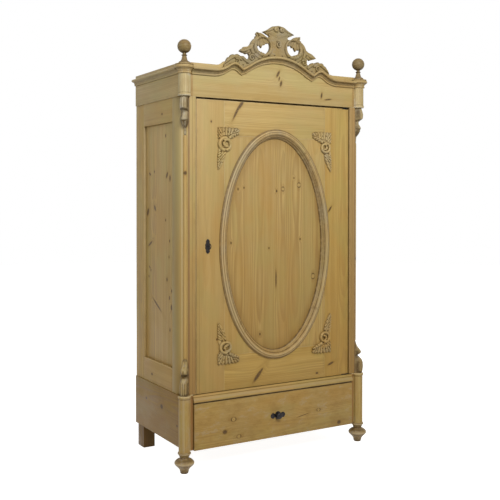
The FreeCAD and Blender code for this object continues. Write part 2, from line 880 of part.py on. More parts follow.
both_sides("corner_post", corner_post())
both_sides("back_stile", cut(box(frame_x, (back_stile_y, back_y), carcass_z), side_panel()))
rail_y = (stile_back_y, back_stile_y)
low_rail = box(frame_x, rail_y, (carcass_z[0], side_opening_bottom))
high_rail = box(frame_x, rail_y, (side_opening_top, carcass_z[1]))
both_sides("side_rails", cut(group(low_rail, high_rail), side_panel()))
both_sides("side_panel", side_panel())
piece("back_boards", back_boards())
roof_y = (door_back_y + d.roof_gap, back_panel_y)
roof_z = (d.carcass_top_height - d.roof_board, d.carcass_top_height)
piece("carcass_top", box(span(carcass_inner_x), roof_y, roof_z))
shelf_heights = (d.lower_shelf_height, d.middle_shelf_height, d.upper_shelf_height)
piece("shelves", group(*[shelf(height) for height in shelf_heights]))
pair("shelf_battens", group(*[shelf_batten(height) for height in shelf_heights]))
pair("half_rounds", corner_bead())
pair("upper_consoles", console(UPPER_CONSOLE, d.upper_console_depth, d.carcass_top_height, d.bead_top_height))
pair("lower_consoles", console(LOWER_CONSOLE, d.lower_console_depth, d.base_top_height, d.bead_bottom_height))
piece("lock_strike", lock_strike())

# ---------------------------------------------------------------------------------------------
# Cornice
# ---------------------------------------------------------------------------------------------
pediment = scaled(PEDIMENT, d.pediment_half_width, d.pediment_rise) + [(column_x, as_size(0), 0)]


def band(bottom, top, depth):
    """A slice of the pediment between two heights over its line, forwards from the board."""
    low = across(raised(pediment, bottom))
    high = backwards(across(raised(pediment, top)))
    return put(sawn("XZ_Plane", low + high, depth), 0, front_y, d.cornice_line)


def capital_block():
    """Turned capital over a corner column, whole."""
    nose = d.capital_radius - d.capital_nose_rounding
    nose_top = d.capital_height - d.capital_fillet
    nose_bottom = nose_top - d.capital_nose_height
    outline = [
        (0, 0, 0),
        (d.ring_radius, 0, -0.3),
        (d.capital_neck_radius, nose_bottom, 0),
        (nose, nose_bottom, d.capital_nose_rounding * 2 / d.capital_nose_height),
        (nose, nose_top, 0),
        (nose, d.capital_height, 0),
        (0, d.capital_height, 0),
    ]
    return put(turned(outline), -column_x, column_y, d.cornice_line)


def capital():
    """Capital notched for the frieze board and the side frieze."""
    z = (d.cornice_line - d.capital_height, d.cornice_line + d.capital_height)
    y_end = column_y + d.capital_radius * 2
    front_notch = box((-frieze_x, -frieze_x + d.capital_radius * 2), (front_y, y_end), z)
    side_notch = box((-unit_x, -unit_inner_x), (unit_side_y, y_end), z)
    return cut(capital_block(), front_notch, side_notch)


def frieze_side():
    """Side board of the cornice, notched at its front corner for the foot of the finial."""
    seat = d.cornice_line + d.capital_height
    board_x = (-unit_x, -unit_inner_x)
    notch = box(board_x, (unit_side_y, column_y + d.capital_radius), (seat, d.side_frieze_top_height))
    return cut(box(board_x, (unit_side_y, back_y), side_frieze_z), notch)


def finial():
    """Ball finial: a rounded disc, a hollow cone, a neck and a ball."""
    disc = d.finial_base_radius - d.finial_rounding
    neck = d.finial_neck_radius
    ball = d.ball_radius
    cone_top = d.finial_base_height + d.finial_cone_height
    drop = root(ball * ball - neck * neck)
    outline = [
        (0, 0, 0),
        (disc, 0, d.finial_rounding * 2 / d.finial_base_height),
        (disc, d.finial_base_height, -0.25),
        (neck, cone_top, 0),
        (neck, d.finial_ball_rise - drop, bulge_of(ball, neck, ball + drop)),
        (0, d.finial_ball_rise + ball, 0),
    ]
    return put(turned(outline), -column_x, column_y, d.cornice_line + d.capital_height)


def frieze_board():
    """Board behind the moulding and the crest, with a bore for the upper door pivot."""
    level = d.frieze_top_height - d.cornice_line
    backing = d.moulding_height + d.frieze_backing
    crown = raised(pediment[:5], backing)
    shoulder = [
        (d.frieze_shoulder_x, level + d.frieze_shoulder, 0.2),
        (d.frieze_flat_x, level, 0),
        (frieze_x, level, 0),
    ]
    top = across(crown + shoulder)
    foot = d.carcass_top_height - d.cornice_line
    outline = backwards(top) + [(-frieze_x, foot, 0), (frieze_x, foot, 0)]
    board = put(sawn("XZ_Plane", outline, d.frieze_thickness), 0, frieze_back_y, d.cornice_line)
    depth = d.door_gap_top + d.pivot_reach + d.pivot_end_play
    return cut(board, rod(d.pivot_radius + d.pivot_clearance, depth, pivot_x, pivot_y, door_top))


def cornice_side():
    """Moulding along the side frieze, from the capital to the back."""
    shares = [(-x, y, -bulge) for x, y, bulge in SIDE_MOULDING]
    outline = scaled(shares, d.side_moulding_projection, d.moulding_height)
    bar = put(sawn("XZ_Plane", outline, back_y - column_y), -unit_x, back_y, d.cornice_line)
    return cut(bar, capital_block())


def crest():
    """Pierced crest that stands on the moulding, with two round holes and two bosses."""
    top = across(scaled(CREST, d.crest_half_width, d.crest_rise))
    foot = [(d.crest_half_width, as_size(0), 0), (-d.crest_half_width, as_size(0), 0)]
    plank = put(sawn("XZ_Plane", backwards(top) + foot[::-1], d.crest_thickness), 0, front_y, d.cornice_line)
    bosses = [
        rod(
            d.crest_boss_radius,
            d.crest_thickness + d.crest_boss_depth,
            d.crest_boss_offset * side,
            front_y,
            d.cornice_line + d.crest_boss_rise,
            TOWARDS_FRONT,
        )
        for side in (-1, 1)
    ]
    holes = [
        rod(
            d.crest_hole_radius,
            d.crest_thickness * 3,
            d.crest_hole_offset * side,
            front_y + d.crest_thickness,
            d.cornice_line + d.crest_hole_rise,
            TOWARDS_FRONT,
        )
        for side in (-1, 1)
    ]
    seat = band(-d.pediment_rise, d.moulding_height, d.crest_thickness * 2)
    return cut(fuse(plank, *bosses), seat, *holes)


def cornice_front():
    """Front moulding: three steps, one in front of the other, that follow the pediment."""
    steps = [
        band(d.moulding_height * start, d.moulding_height, d.moulding_projection * depth)
        for start, depth in MOULDING_STEPS
    ]
    corner = capital_block()
    return cut(fuse(*steps), corner, mirrored(corner))


def dust_board():
    """Board inside the cornice, notched round the blocks behind the columns."""
    top = d.cornice_line - d.dust_board_drop
    z = (top - d.dust_board, top)
    notch = box((-unit_inner_x, -frieze_x), (front_y, base_block_y), z)
    return cut(box(span(unit_inner_x), (frieze_back_y, unit_back_y), z), notch, mirrored(notch))


frieze_z = (d.carcass_top_height, d.cornice_line)
side_frieze_z = (d.carcass_top_height, d.side_frieze_top_height)
piece("frieze_board", frieze_board())
pair("frieze_sides", frieze_side())
both_sides("frieze_post", corner_post_of(d.frieze_column_radius, frieze_x, frieze_z, False))
piece("frieze_back_rail", box(span(unit_inner_x), (unit_back_y, back_y), side_frieze_z))
piece("cornice_front", cornice_front())
pair("cornice_sides", cornice_side())
pair("capitals", capital())
pair("finials", finial())
piece("crest", crest())
piece("dust_board", dust_board())

# ---------------------------------------------------------------------------------------------
# Door
# ---------------------------------------------------------------------------------------------
opening_half_width = d.oval_half_width - d.oval_seat
opening_half_height = d.oval_half_height - d.oval_seat
face_y = (door_front_y, door_back_y)
board_y = (door_front_y, door_panel_y)
door_z = (door_bottom, door_top)


def oval_opening():
    """The oval hole in the door, as a tool."""
    depth = d.door_thickness * 2
    return oval_block(opening_half_width, opening_half_height, 0, door_front_y, d.oval_height, depth)


def door_panel():
    """Thin panel behind the oval, in rebates at the back of both rails."""
    z = (rail_bottom_edge - d.door_panel_lap, rail_top_edge + d.door_panel_lap)
    return box(span(door_stile_x), (door_panel_y, door_panel_y + d.door_panel_thickness), z)


def door_rail(z, rebate_z):
    """Rail with a rebate for the panel and its share of the oval opening."""
    rebate = box(span(door_stile_x), (door_panel_y, door_back_y), rebate_z)
    return cut(box(span(door_stile_x), face_y, z), rebate, oval_opening())


def corner_board(z):
    """Board that fills the corner between stile, rail and oval."""
    return cut(box((-door_stile_x, as_size(0)), board_y, z), oval_opening())


def oval_moulding():
    """Moulding round the oval: a bead on the door's face and a lip down to the panel."""
    width = d.oval_moulding_width
    seat = d.oval_seat
    outer = d.oval_half_height
    face = [(width * x, d.oval_moulding_proud * y, bulge) for x, y, bulge in OVAL_MOULDING]
    lip = [
        (width, -d.door_panel_thickness, 0),
        (seat, -d.door_panel_thickness, 0),
        (seat, as_size(0), 0),
    ]
    section = doc.addObject("Sketcher::SketchObject", "MouldingSection")
    draw(section, [(-proud, outer - inward, bulge) for inward, proud, bulge in face + lip])
    put(section, 0, door_front_y, d.oval_height, SECTION_PLANE)
    moulding = doc.addObject("Part::Sweep", "OvalMoulding")
    moulding.Sections = [section]
    path = upright_ellipse(d.oval_half_width, d.oval_half_height, door_front_y, d.oval_height)
    moulding.Spine = (path, ["Edge1"])
    moulding.Solid = True
    moulding.Frenet = True
    return moulding


def carvings():
    """Four carved leaves round the oval, mirrored from the upper left one."""
    outline = [(x, -y, bulge) for x, y, bulge in scaled(SPANDREL, d.spandrel_width, d.spandrel_length)]
    leaf = sawn("XZ_Plane", outline, d.spandrel_thickness)
    put(leaf, -door_x + d.spandrel_inset, door_front_y, d.spandrel_rise)
    upper = group(leaf, mirrored(leaf))
    lower = mirrored(upper, Vector(0, 0, 1))
    return put(group(upper, lower), z=d.oval_height)


def pivot_plate_tool(z):
    x = (door_x - d.pivot_plate_length, door_x)
    y = (pivot_y - d.pivot_plate_width / 2, pivot_y + d.pivot_plate_width / 2)
    return box(x, y, z)


def pivot_hinge(plate_z, pin_z):
    """Iron plate let into the end of the stile, with its pivot pin."""
    pin = rod(d.pivot_radius, pin_z[1] - pin_z[0], pivot_x, pivot_y, pin_z[0])
    return fuse(pivot_plate_tool(plate_z), pin)


def lock_case():
    """Iron case on the back of the lock stile, hollow, with a slot for the bolt."""
    x = (-door_x + d.lock_edge, -door_x + d.lock_edge + d.lock_case_length)
    half = d.lock_case_height / 2
    wall = d.lock_wall
    shell = box(x, (door_back_y, door_back_y + d.lock_case_depth), (lock_height - half, lock_height + half))
    hollow = box(
        (x[0] + wall, x[1] - wall),
        (door_back_y, door_back_y + d.lock_case_depth - wall),
        (lock_height - half + wall, lock_height + half - wall),
    )
    slot_half = d.bolt_height / 2 + d.lock_clearance
    slot = box(
        (x[0], x[0] + wall),
        (door_back_y, door_back_y + d.bolt_thickness + d.lock_clearance * 2),
        (lock_height - slot_half, lock_height + slot_half),
    )
    return cut(shell, hollow, slot)


def lock_bolt():
    """Sliding bolt in the lock case."""
    x = (-door_x + d.lock_edge, -door_x + d.lock_edge + d.bolt_length)
    y = door_back_y + d.lock_clearance
    z = (lock_height - d.bolt_height / 2, lock_height + d.bolt_height / 2)
    return box(x, (y, y + d.bolt_thickness), z)


def keyhole():
    """Round hole for the key's shaft, through the escutcheon and the stile."""
    start = door_front_y - d.escutcheon_thickness
    depth = d.escutcheon_thickness + d.door_thickness
    return rod(d.keyhole_radius, depth, -key_x, start, lock_height, TOWARDS_BACK)


def escutcheon():
    """Oval plate round the keyhole."""
    y = door_front_y - d.escutcheon_thickness
    plate = oval_block(
        d.escutcheon_width / 2, d.escutcheon_height / 2, -key_x, y, lock_height, d.escutcheon_thickness
    )
    return cut(plate, keyhole())


def door_key():
    """Key in its lock: bow in front, shaft through the stile and bit inside the case."""
    bow_ring = d.key_bow_radius - d.key_bow_wire / 2
    bow_y = door_front_y - d.key_reach + d.key_bow_radius
    shaft_y = bow_y + bow_ring
    end_y = door_back_y + d.lock_case_depth - d.lock_wall - d.lock_clearance * 4
    bow = doc.addObject("Part::Torus", "Bow")
    bind(bow, Radius1=bow_ring, Radius2=d.key_bow_wire / 2)
    put(bow, -key_x, bow_y, lock_height, SIDEWAYS)
    shaft = rod(d.key_radius, end_y - shaft_y, -key_x, shaft_y, lock_height, TOWARDS_BACK)
    bit_y = door_back_y + d.bolt_thickness + d.lock_clearance * 3
    half = d.key_bit_thickness / 2
    bit = box((-key_x - half, -key_x + half), (bit_y, end_y), (lock_height - d.key_bit_length, lock_height))
    return fuse(bow, shaft, bit)


lower_plate = (door_bottom, door_bottom + d.pivot_plate_thickness)
upper_plate = (door_top - d.pivot_plate_thickness, door_top)
lower_pin = (door_bottom - d.door_gap_bottom - d.pivot_reach, door_bottom + d.pivot_plate_thickness)
upper_pin = (door_top - d.pivot_plate_thickness, door_top + d.door_gap_top + d.pivot_reach)
stile_x = (door_stile_x, door_x)
piece("door_stile_lock", cut(box((-door_x, -door_stile_x), face_y, door_z), keyhole()))
hinge_stile = box(stile_x, face_y, door_z)
piece("door_stile_hinge", cut(hinge_stile, pivot_plate_tool(lower_plate), pivot_plate_tool(upper_plate)))
low_rebate = (rail_bottom_edge - d.door_panel_lap, rail_bottom_edge)
high_rebate = (rail_top_edge, rail_top_edge + d.door_panel_lap)
piece("door_rail_bottom", door_rail((door_bottom, rail_bottom_edge), low_rebate))
piece("door_rail_top", door_rail((rail_top_edge, door_top), high_rebate))
lower_corner = corner_board((rail_bottom_edge, d.oval_height - d.corner_board_end))
upper_corner = corner_board((d.oval_height + d.corner_board_end, rail_top_edge))
corners = [lower_corner, mirrored(lower_corner), upper_corner, mirrored(upper_corner)]
piece("door_corner_boards", group(*corners))
piece("door_panel", door_panel())
piece("oval_moulding", oval_moulding())
piece("door_carvings", carvings())
piece("pivot_hinges", group(pivot_hinge(lower_plate, lower_pin), pivot_hinge(upper_plate, upper_pin)))
piece("lock_case", lock_case())
piece("lock_bolt", lock_bolt())
piece("escutcheon", escutcheon())
piece("door_key", door_key())

# ---------------------------------------------------------------------------------------------
# Check and export
# ---------------------------------------------------------------------------------------------
doc.recompute()
for item in doc.Objects:
    if "Invalid" in item.State or "Error" in item.State:
        raise RuntimeError(f"{item.Name} ({item.Label}) is {item.State}")
for item in PIECES:
    if item.Shape.isNull() or not item.Shape.isValid():
        raise RuntimeError(f"{item.Label} has no valid shape")
for item in PIECES:
    item.Shape.exportStep(f"parts/{item.Label}.step")
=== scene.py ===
import json
import math

import bmesh
import bpy
import numpy as np
from mathutils import Matrix, Vector

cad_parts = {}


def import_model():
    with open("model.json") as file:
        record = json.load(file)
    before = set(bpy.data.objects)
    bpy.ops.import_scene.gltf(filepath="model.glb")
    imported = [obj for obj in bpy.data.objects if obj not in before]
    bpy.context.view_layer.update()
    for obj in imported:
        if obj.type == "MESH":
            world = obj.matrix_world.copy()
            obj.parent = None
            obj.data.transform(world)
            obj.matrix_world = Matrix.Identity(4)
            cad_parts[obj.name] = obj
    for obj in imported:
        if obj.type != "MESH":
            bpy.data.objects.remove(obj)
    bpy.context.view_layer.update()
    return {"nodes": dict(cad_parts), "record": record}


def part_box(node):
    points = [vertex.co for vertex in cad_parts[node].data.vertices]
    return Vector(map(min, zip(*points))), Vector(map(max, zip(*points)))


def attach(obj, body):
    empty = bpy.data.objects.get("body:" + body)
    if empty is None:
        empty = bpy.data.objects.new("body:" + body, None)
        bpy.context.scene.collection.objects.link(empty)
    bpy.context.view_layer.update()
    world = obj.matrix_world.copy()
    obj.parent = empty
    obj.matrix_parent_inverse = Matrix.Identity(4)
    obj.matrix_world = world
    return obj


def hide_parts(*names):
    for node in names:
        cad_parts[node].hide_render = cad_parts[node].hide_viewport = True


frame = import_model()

NODES = frame["nodes"]
RECORD = frame["record"]
BODY_OF = {node: body for body, members in RECORD["behaviour"]["bodies"].items() for node in members}
SCENE = bpy.context.scene
SIDES = (("left", -1), ("right", 1))

COLUMN = (0.5, -0.236)          # axis of the right-hand corner column
FRONT = -0.24                  # front boards
DOOR = -0.234                   # face of the door
LINE = 1.832                    # underside of the cornice moulding at its ends
CANT = (0.4915, -0.226)         # middle of the right-hand canted corner
REAR = 0.283                    # rearmost point
FRIEZE_HALF = 0.470             # half width of the frieze board
SIDE_INNER, SIDE_OUTER, SIDE_FRONT = 0.497, 0.522, -0.222       # faces and front edge of the right side frieze
OVAL = (0.317, 0.56, 1.038)    # outer half width and half height of the oval moulding, and its middle
LOCK = (-0.378, 1.038)          # keyhole
KNOB = (0, 0.203)               # drawer knob
DRAWER = -0.25                 # face of the drawer front
KNOB_PLATE = 0.003              # thickness of the plate behind the knob

LIGHT = (0.585, 0.43, 0.188)
MIDDLE = (0.485, 0.336, 0.126)
DARK = (0.33, 0.205, 0.07)
WARM = (0.47, 0.285, 0.085)
OLIVE = (0.45, 0.37, 0.145)
KNOT_HALO = (0.41, 0.27, 0.09)
KNOT_RIM = (0.27, 0.17, 0.058)
KNOT_CORE = (0.095, 0.055, 0.022)
PALE = (0.64, 0.53, 0.33)
GREY = (0.42, 0.355, 0.225)
# colour of grime, and of painted shade in hollows, gaps and under ledges
DIRT_AND_SHADE = (0.12, 0.072, 0.022)
LILAC = (0.5, 0.43, 0.35)
RUST = (0.3, 0.14, 0.04)
UMBER = (0.17, 0.075, 0.04)
MOSS = (0.265, 0.215, 0.09)
WHITE = (1.0, 1.0, 1.0)
LOW_SHADE, LOW_SHADE_BELOW = (0.855, 0.77, 0.57), 1.75    # painted shade: darker and browner at the floor, and less so up to this height
IRON, BROWN_IRON = (0.008, 0.007, 0.008), (0.03, 0.022, 0.018)

# Along, across and into a board, by the way of its grain and the face that is seen.
ORDER = {"X front": "xzy", "X top": "xyz", "Y side": "yzx", "Y top": "yxz", "Z front": "zxy", "Z side": "zyx"}
FACING = {"X": "front", "Y": "side", "Z": "front"}
KNOT_SHAPE = (1.5, 0.0)                 # stretch and angle of a knot that doesn't give its own
LINE_LOOK = (0.6, DIRT_AND_SHADE, 9.0, 10.0)      # amount and colour of a line, and where it fades along the grain

# ---- Materials
class Nodes:
    """A node tree with short calls to add nodes; colour is what has been layered so far."""

    def __init__(self, tree):
        self.tree, self.colour = tree, None
        tree.nodes.clear()

    def add(self, kind, inputs=(), **settings):
        """A new node; inputs are (socket name or index, value or output socket)."""
        made = self.tree.nodes.new(kind)
        for key, value in settings.items():
            setattr(made, key, value)
        for key, value in dict(inputs).items():
            if isinstance(value, bpy.types.NodeSocket):
                self.tree.links.new(value, made.inputs[key])
            else:
                made.inputs[key].default_value = value
        return made

    def math(self, operation, *values):
        return self.add("ShaderNodeMath", enumerate(values), operation=operation).outputs[0]

    def mul(self, *values):
        return self.math("MULTIPLY", *values)

    def mad(self, value, factor, addend):
        return self.math("MULTIPLY_ADD", value, factor, addend)

    def apart(self, first, second):
        return self.math("ABSOLUTE", self.math("SUBTRACT", first, second))

    def vector(self, operation, *values):
        made = self.add("ShaderNodeVectorMath", enumerate(values), operation=operation)
        return made.outputs["Value" if operation == "DOT_PRODUCT" else "Vector"]

    def combine(self, x, y, z):
        return self.add("ShaderNodeCombineXYZ", enumerate((x, y, z))).outputs[0]

    def split(self, vector):
        return self.add("ShaderNodeSeparateXYZ", {0: vector}).outputs

    def noise(self, vector, scale=1.0, detail=2.0, roughness=0.5):
        inputs = {"Vector": vector, "Scale": scale, "Detail": detail, "Roughness": roughness}
        return self.add("ShaderNodeTexNoise", inputs).outputs[0]

    def step(self, value, low, high, start=0.0, end=1.0):
        """Smooth step from start at low to end at high."""
        inputs = enumerate((value, low, high, start, end))
        return self.add("ShaderNodeMapRange", inputs, interpolation_type="SMOOTHSTEP").outputs[0]

    def blend(self, factor, first, second, mode="MIX"):
        first, second = ((*shade, 1) if isinstance(shade, tuple) else shade for shade in (first, second))
        inputs = {0: factor, 6: first, 7: second}
        return self.add("ShaderNodeMix", inputs, data_type="RGBA", blend_type=mode).outputs[2]

    def coat(self, factor, shade, mode="MIX"):
        """One more layer on the colour."""
        self.colour = self.blend(factor, self.colour, shade, mode)

    def attribute(self, name):
        return self.add("ShaderNodeAttribute", attribute_name=name).outputs["Fac"]

    def place(self):
        """Object coordinates, which are the frame's metres."""
        return self.add("ShaderNodeTexCoord").outputs["Object"]

    def surface(self, rough, relief, strength, distance, constants):
        """The surface in the layered colour, with relief as bump."""
        bump = self.add("ShaderNodeBump", {"Strength": strength, "Distance": distance, "Height": relief}).outputs[0]
        inputs = {"Base Color": self.colour, "Roughness": rough, "Normal": bump, **constants}
        shader = self.add("ShaderNodeBsdfPrincipled", inputs)
        self.add("ShaderNodeOutputMaterial", {0: shader.outputs[0]})


def new_material(name):
    material = bpy.data.materials.new(name)
    material.use_nodes = True
    return material, Nodes(material.node_tree)


def knot_group():
    """Squared distance to a knot's middle, in knot radii along and across its own axes."""
    tree = bpy.data.node_groups.new("knot", "ShaderNodeTree")
    for name in ("Place", "Middle", "Long", "Short"):
        tree.interface.new_socket(name, in_out="INPUT", socket_type="NodeSocketVector")
    tree.interface.new_socket("Distance", in_out="OUTPUT", socket_type="NodeSocketFloat")
    s = Nodes(tree)
    place, middle, *axes = s.add("NodeGroupInput").outputs[:4]
    away = s.vector("SUBTRACT", place, middle)
    long, short = (s.vector("DOT_PRODUCT", away, axis) for axis in axes)
    s.add("NodeGroupOutput", {0: s.math("ADD", s.mul(long, long), s.mul(short, short))})
    return tree


KNOT = knot_group()


def nearest_knot(s, place, knots, order):
    """Squared distance to the nearest of some knots: (across, along, radius, stretch, angle)."""
    nearest = None
    for knot in knots:
        across, along, radius, stretch, angle = knot + KNOT_SHAPE[len(knot) - 3:]
        cosine, sine = math.cos(math.radians(angle)) / radius, math.sin(math.radians(angle)) / radius
        vectors = np.zeros((3, 3))
        vectors[:, "xyz".index(order[0])] = along, cosine / stretch, -sine
        vectors[:, "xyz".index(order[1])] = across, sine / stretch, cosine
        away = s.add("ShaderNodeGroup", enumerate((place, *vectors.tolist())), node_tree=KNOT).outputs[0]
        nearest = away if nearest is None else s.math("MINIMUM", nearest, away)
    return nearest


def pine(name, grain, seed, facing=None, tone=WHITE, boards=None, knots=(), sound=(), wild=1.0, box=None, lines=(),
         glints=(), bands=(), oval=None, grey=0.0, figure=1.0, blotch=(0.0, 13.0), rings=210.0, heart=0.0, depth=0.0,
         fold=False, log=0.09):
    """Waxed old pine: annual rings, fibres, knots, worn edges, grime and painted shade, with the grain along one axis.

    Knots are dark and loose, sound ones pale with a thin dark rim, and wild sets how large the chance ones are.
    Lines and glints run with the grain, and bands across it. Some lines and bands are painted shade, and some painted
    highlights; oval paints shade round the inside of an oval. The rings turn about heart across the board and log
    behind depth. boards is where several boards start and how wide each is, and fold mirrors the left on the right.
    """
    material, s = new_material(name)
    place = s.place()
    values = dict(zip("xyz", s.split(place)))
    if fold:
        values["x"] = s.math("ABSOLUTE", values["x"])
    order = ORDER[f"{grain} {facing or FACING[grain]}"]
    along, across, deep = (values[letter] for letter in order)

    def stretched(crosswise, lengthwise, detail=2.0, roughness=0.5):
        x, y, z = s.mad(across, crosswise, seed * 3.7), s.mul(deep, crosswise), s.mad(along, lengthwise, seed)
        return s.noise(s.combine(x, y, z), 1.0, detail, roughness)

    middle = heart
    if boards:
        start, width = boards
        shifted = s.math("DIVIDE", s.math("SUBTRACT", across, start), width)
        index = s.math("FLOOR", shifted)
        luck = s.add("ShaderNodeTexWhiteNoise", {"W": s.math("ADD", index, seed)}, noise_dimensions="1D").outputs[0]
        middle = s.mad(s.mad(luck, 2.6, s.math("ADD", index, -0.8)), width, start)
        joint = s.step(s.apart(s.math("FRACT", shifted), 0.5), 0.5 - 0.001 / width, 0.5 - 0.0003 / width)

    # knots: chance ones in the cells of a pattern, and those that are placed
    rough_spot = s.noise(place, 190.0)
    cells = s.combine(s.mad(across, 5.2, seed), s.mul(deep, 5.2), s.mul(along, 2.6))
    spots = s.add("ShaderNodeTexVoronoi", {"Vector": cells, "Scale": 1.0}).outputs["Distance"]
    knot = s.math("POWER", s.math("DIVIDE", spots, max(wild, 0.01) * 0.045), 2.0)
    if knots:
        knot = s.math("MINIMUM", knot, nearest_knot(s, place, knots, order))
    knot = s.mul(knot, s.mad(rough_spot, 0.9, 0.55))
    halo = s.math("POWER", 2.718, s.mul(knot, -0.2))

    # annual rings of a plank sawn off the middle of the log
    side = s.math("SUBTRACT", s.mad(stretched(5.0, 0.7), 0.035, across), middle)
    bend = s.noise(s.combine(seed * 1.3, 0.0, along), 1.0, 1.0)
    behind = s.mad(bend, 0.055, s.math("ADD", deep, log - 0.02 - depth))
    ring = s.mad(halo, 0.008, s.math("SQRT", s.math("ADD", s.mul(side, side), s.mul(behind, behind))))
    phase = s.math("FRACT", s.mad(stretched(22.0, 2.4), 1.3, s.mul(ring, rings)))
    late = s.mul(s.step(phase, 0.2, 0.86), s.step(phase, 1.0, 0.93))

    # colour of the wood
    thread = stretched(190.0, 3.0, 3.0, 0.6)
    fibre = stretched(620.0, 22.0, 2.0, 0.6)
    cool = s.noise(place, 7.0, 4.0, 0.65)
    calm = 0.5 * min(1.0, 0.12 + figure)
    s.colour = s.blend(s.step(stretched(48.0, 1.3, 4.0, 0.62), 0.3, 0.7, 0.5 - calm, 0.5 + calm), MIDDLE, LIGHT)
    s.coat(s.mul(late, 0.38 * figure), DARK)
    s.coat(s.mul(s.step(thread, 0.48, 0.72), 0.2 + 0.18 * figure), DARK)
    s.coat(s.mul(s.step(stretched(6.0, 2.0, 3.0), 0.46, 0.68), 0.5), WARM)
    s.coat(s.mul(s.step(stretched(11.0, 3.5, 3.0), 0.46, 0.66), 0.45), OLIVE)
    s.coat(s.mul(s.step(cool, 0.4, 0.66), 0.12 + grey), GREY)
    if blotch[0]:
        patches = stretched(blotch[1], blotch[1] * 0.5, 5.0, 0.72)
        s.coat(s.step(patches, 0.48, 0.64, 0.0, blotch[0]), DARK)
        s.coat(s.step(patches, 0.47, 0.36, 0.0, blotch[0]), LILAC)
    if boards:
        board_tone = s.mad(luck, 0.14, 0.93)
        s.coat(1.0, s.combine(board_tone, board_tone, s.mul(board_tone, board_tone)), "MULTIPLY")
        s.coat(s.mul(joint, 0.5), DIRT_AND_SHADE)
    s.coat(s.mul(halo, 0.6), KNOT_HALO)
    s.coat(s.step(knot, 2.2, 0.8, 0.0, 0.85), KNOT_RIM)
    core = s.mul(s.step(knot, 1.1, 0.4), s.step(rough_spot, 0.2, 0.55, 0.4, 1.0))
    s.coat(core, KNOT_CORE)
    if sound:
        eye = s.mul(nearest_knot(s, place, sound, order), s.mad(rough_spot, 0.5, 0.75))
        flame = nearest_knot(s, place, [(a, b, r, 2.7) for a, b, r, _ in sound], order)
        s.coat(s.mul(s.step(flame, 1.9, 0.5), s.step(thread, 0.35, 0.65, 0.15, 0.65)), DARK)
        s.coat(s.step(eye, 1.0, 0.6, 0.0, 0.75), LIGHT)
        broken = s.mul(s.step(flame, 1.1, 0.35, 0.15, 0.9), s.step(rough_spot, 0.28, 0.55, 0.4, 1.0))
        s.coat(s.mul(s.step(s.apart(eye, 1.0), 0.8, 0.2), broken), KNOT_CORE)
        s.coat(s.step(eye, 0.1, 0.02, 0.0, 0.6), KNOT_RIM)
    s.coat(s.mul(s.step(fibre, 0.35, 0.75), 0.1), DARK)

    # lines, bands, worn edges and grime, with painted shade and painted highlights among them
    for line in lines:
        at, half, amount, shade, low, high = line + LINE_LOOK[len(line) - 2:]
        near = s.step(s.apart(across, at), half, half * 0.4, 0.0, amount)
        s.coat(s.mul(near, s.step(along, high, low)), shade)
    for at, half in glints:
        s.coat(s.step(s.apart(across, at), half, half * 0.3, 0.0, 0.35), LILAC)
    # painted shade on the panel round the inside of the oval moulding
    if oval:
        wide, tall, centre = oval
        shares = s.math("DIVIDE", across, wide), s.math("DIVIDE", s.math("SUBTRACT", along, centre), tall)
        reach = s.math("ADD", *(s.math("POWER", share, 2.0) for share in shares))
        s.coat(s.mul(s.step(reach, 0.74, 1.02), s.step(cool, 0.2, 0.8, 0.25, 0.75)), DARK)
    dents = s.noise(place, 60.0, 3.0)
    uneven = s.step(dents, 0.25, 0.6, 0.55, 1.0)
    for at, half, amount, shade in bands:
        s.coat(s.mul(s.step(s.apart(along, at), half, half * 0.5, 0.0, amount), uneven), shade)
    if box:
        low, high = np.array(box)
        inwards = s.vector("ABSOLUTE", s.vector("SUBTRACT", place, tuple((low + high) / 2)))
        a, b, c = s.split(s.vector("SUBTRACT", tuple((high - low) / 2), inwards))
        near = s.math("MAXIMUM", s.math("MINIMUM", a, b), s.math("MINIMUM", s.math("MAXIMUM", a, b), c))
        ragged = s.mad(cool, 0.007, s.math("SUBTRACT", near, 0.0035))
        s.coat(s.mul(s.step(near, 0.02, 0.0), s.step(s.noise(place, 16.0, 3.0), 0.42, 0.68, 0.0, 0.16)), DIRT_AND_SHADE)
        s.coat(s.step(ragged, 0.0022, 0.0002, 0.0, 0.4), PALE)
    # grime_and_shade is grime and painted shade, rubbed_and_highlight is wear and painted highlight
    s.coat(s.mul(s.attribute("grime_and_shade"), uneven), DIRT_AND_SHADE)
    s.coat(s.mul(s.attribute("rubbed_and_highlight"), uneven), PALE)
    # painted shade: ambient occlusion darkens hollows, creases and gaps
    hollow = s.add("ShaderNodeAmbientOcclusion", {"Distance": 0.022}, samples=6).outputs["AO"]
    s.coat(s.step(hollow, 0.72, 0.2, 0.0, 0.42), DIRT_AND_SHADE)
    s.coat(1.0, tone, "MULTIPLY")
    # painted shade, darker and browner towards the floor
    s.coat(1.0, s.blend(s.step(values["z"], 0.0, LOW_SHADE_BELOW), LOW_SHADE, WHITE), "MULTIPLY")

    rough = s.step(s.mad(late, -0.25, cool), 0.1, 0.8, 0.44, 0.64)
    relief = s.mad(late, 0.5, s.mul(fibre, 0.35))
    relief = s.mad(s.step(dents, 0.62, 0.72), -0.9, relief)
    relief = s.mad(core, -0.8, relief)
    s.surface(rough, relief, 0.35, 0.0006, {"Specular IOR Level": 0.3})
    return material


def iron():
    """Old black iron: uneven and a little brown."""
    material, s = new_material("black_iron")
    place = s.place()
    patch = s.noise(place, 120.0, 4.0, 0.6)
    s.colour = s.blend(s.step(patch, 0.4, 0.7), IRON, BROWN_IRON)
    height = s.mad(s.noise(place, 700.0, 3.0, 0.6), 0.4, patch)
    s.surface(s.step(patch, 0.3, 0.8, 0.34, 0.6), height, 0.4, 0.0008, {"Metallic": 0.4, "Specular IOR Level": 0.4})
    return material
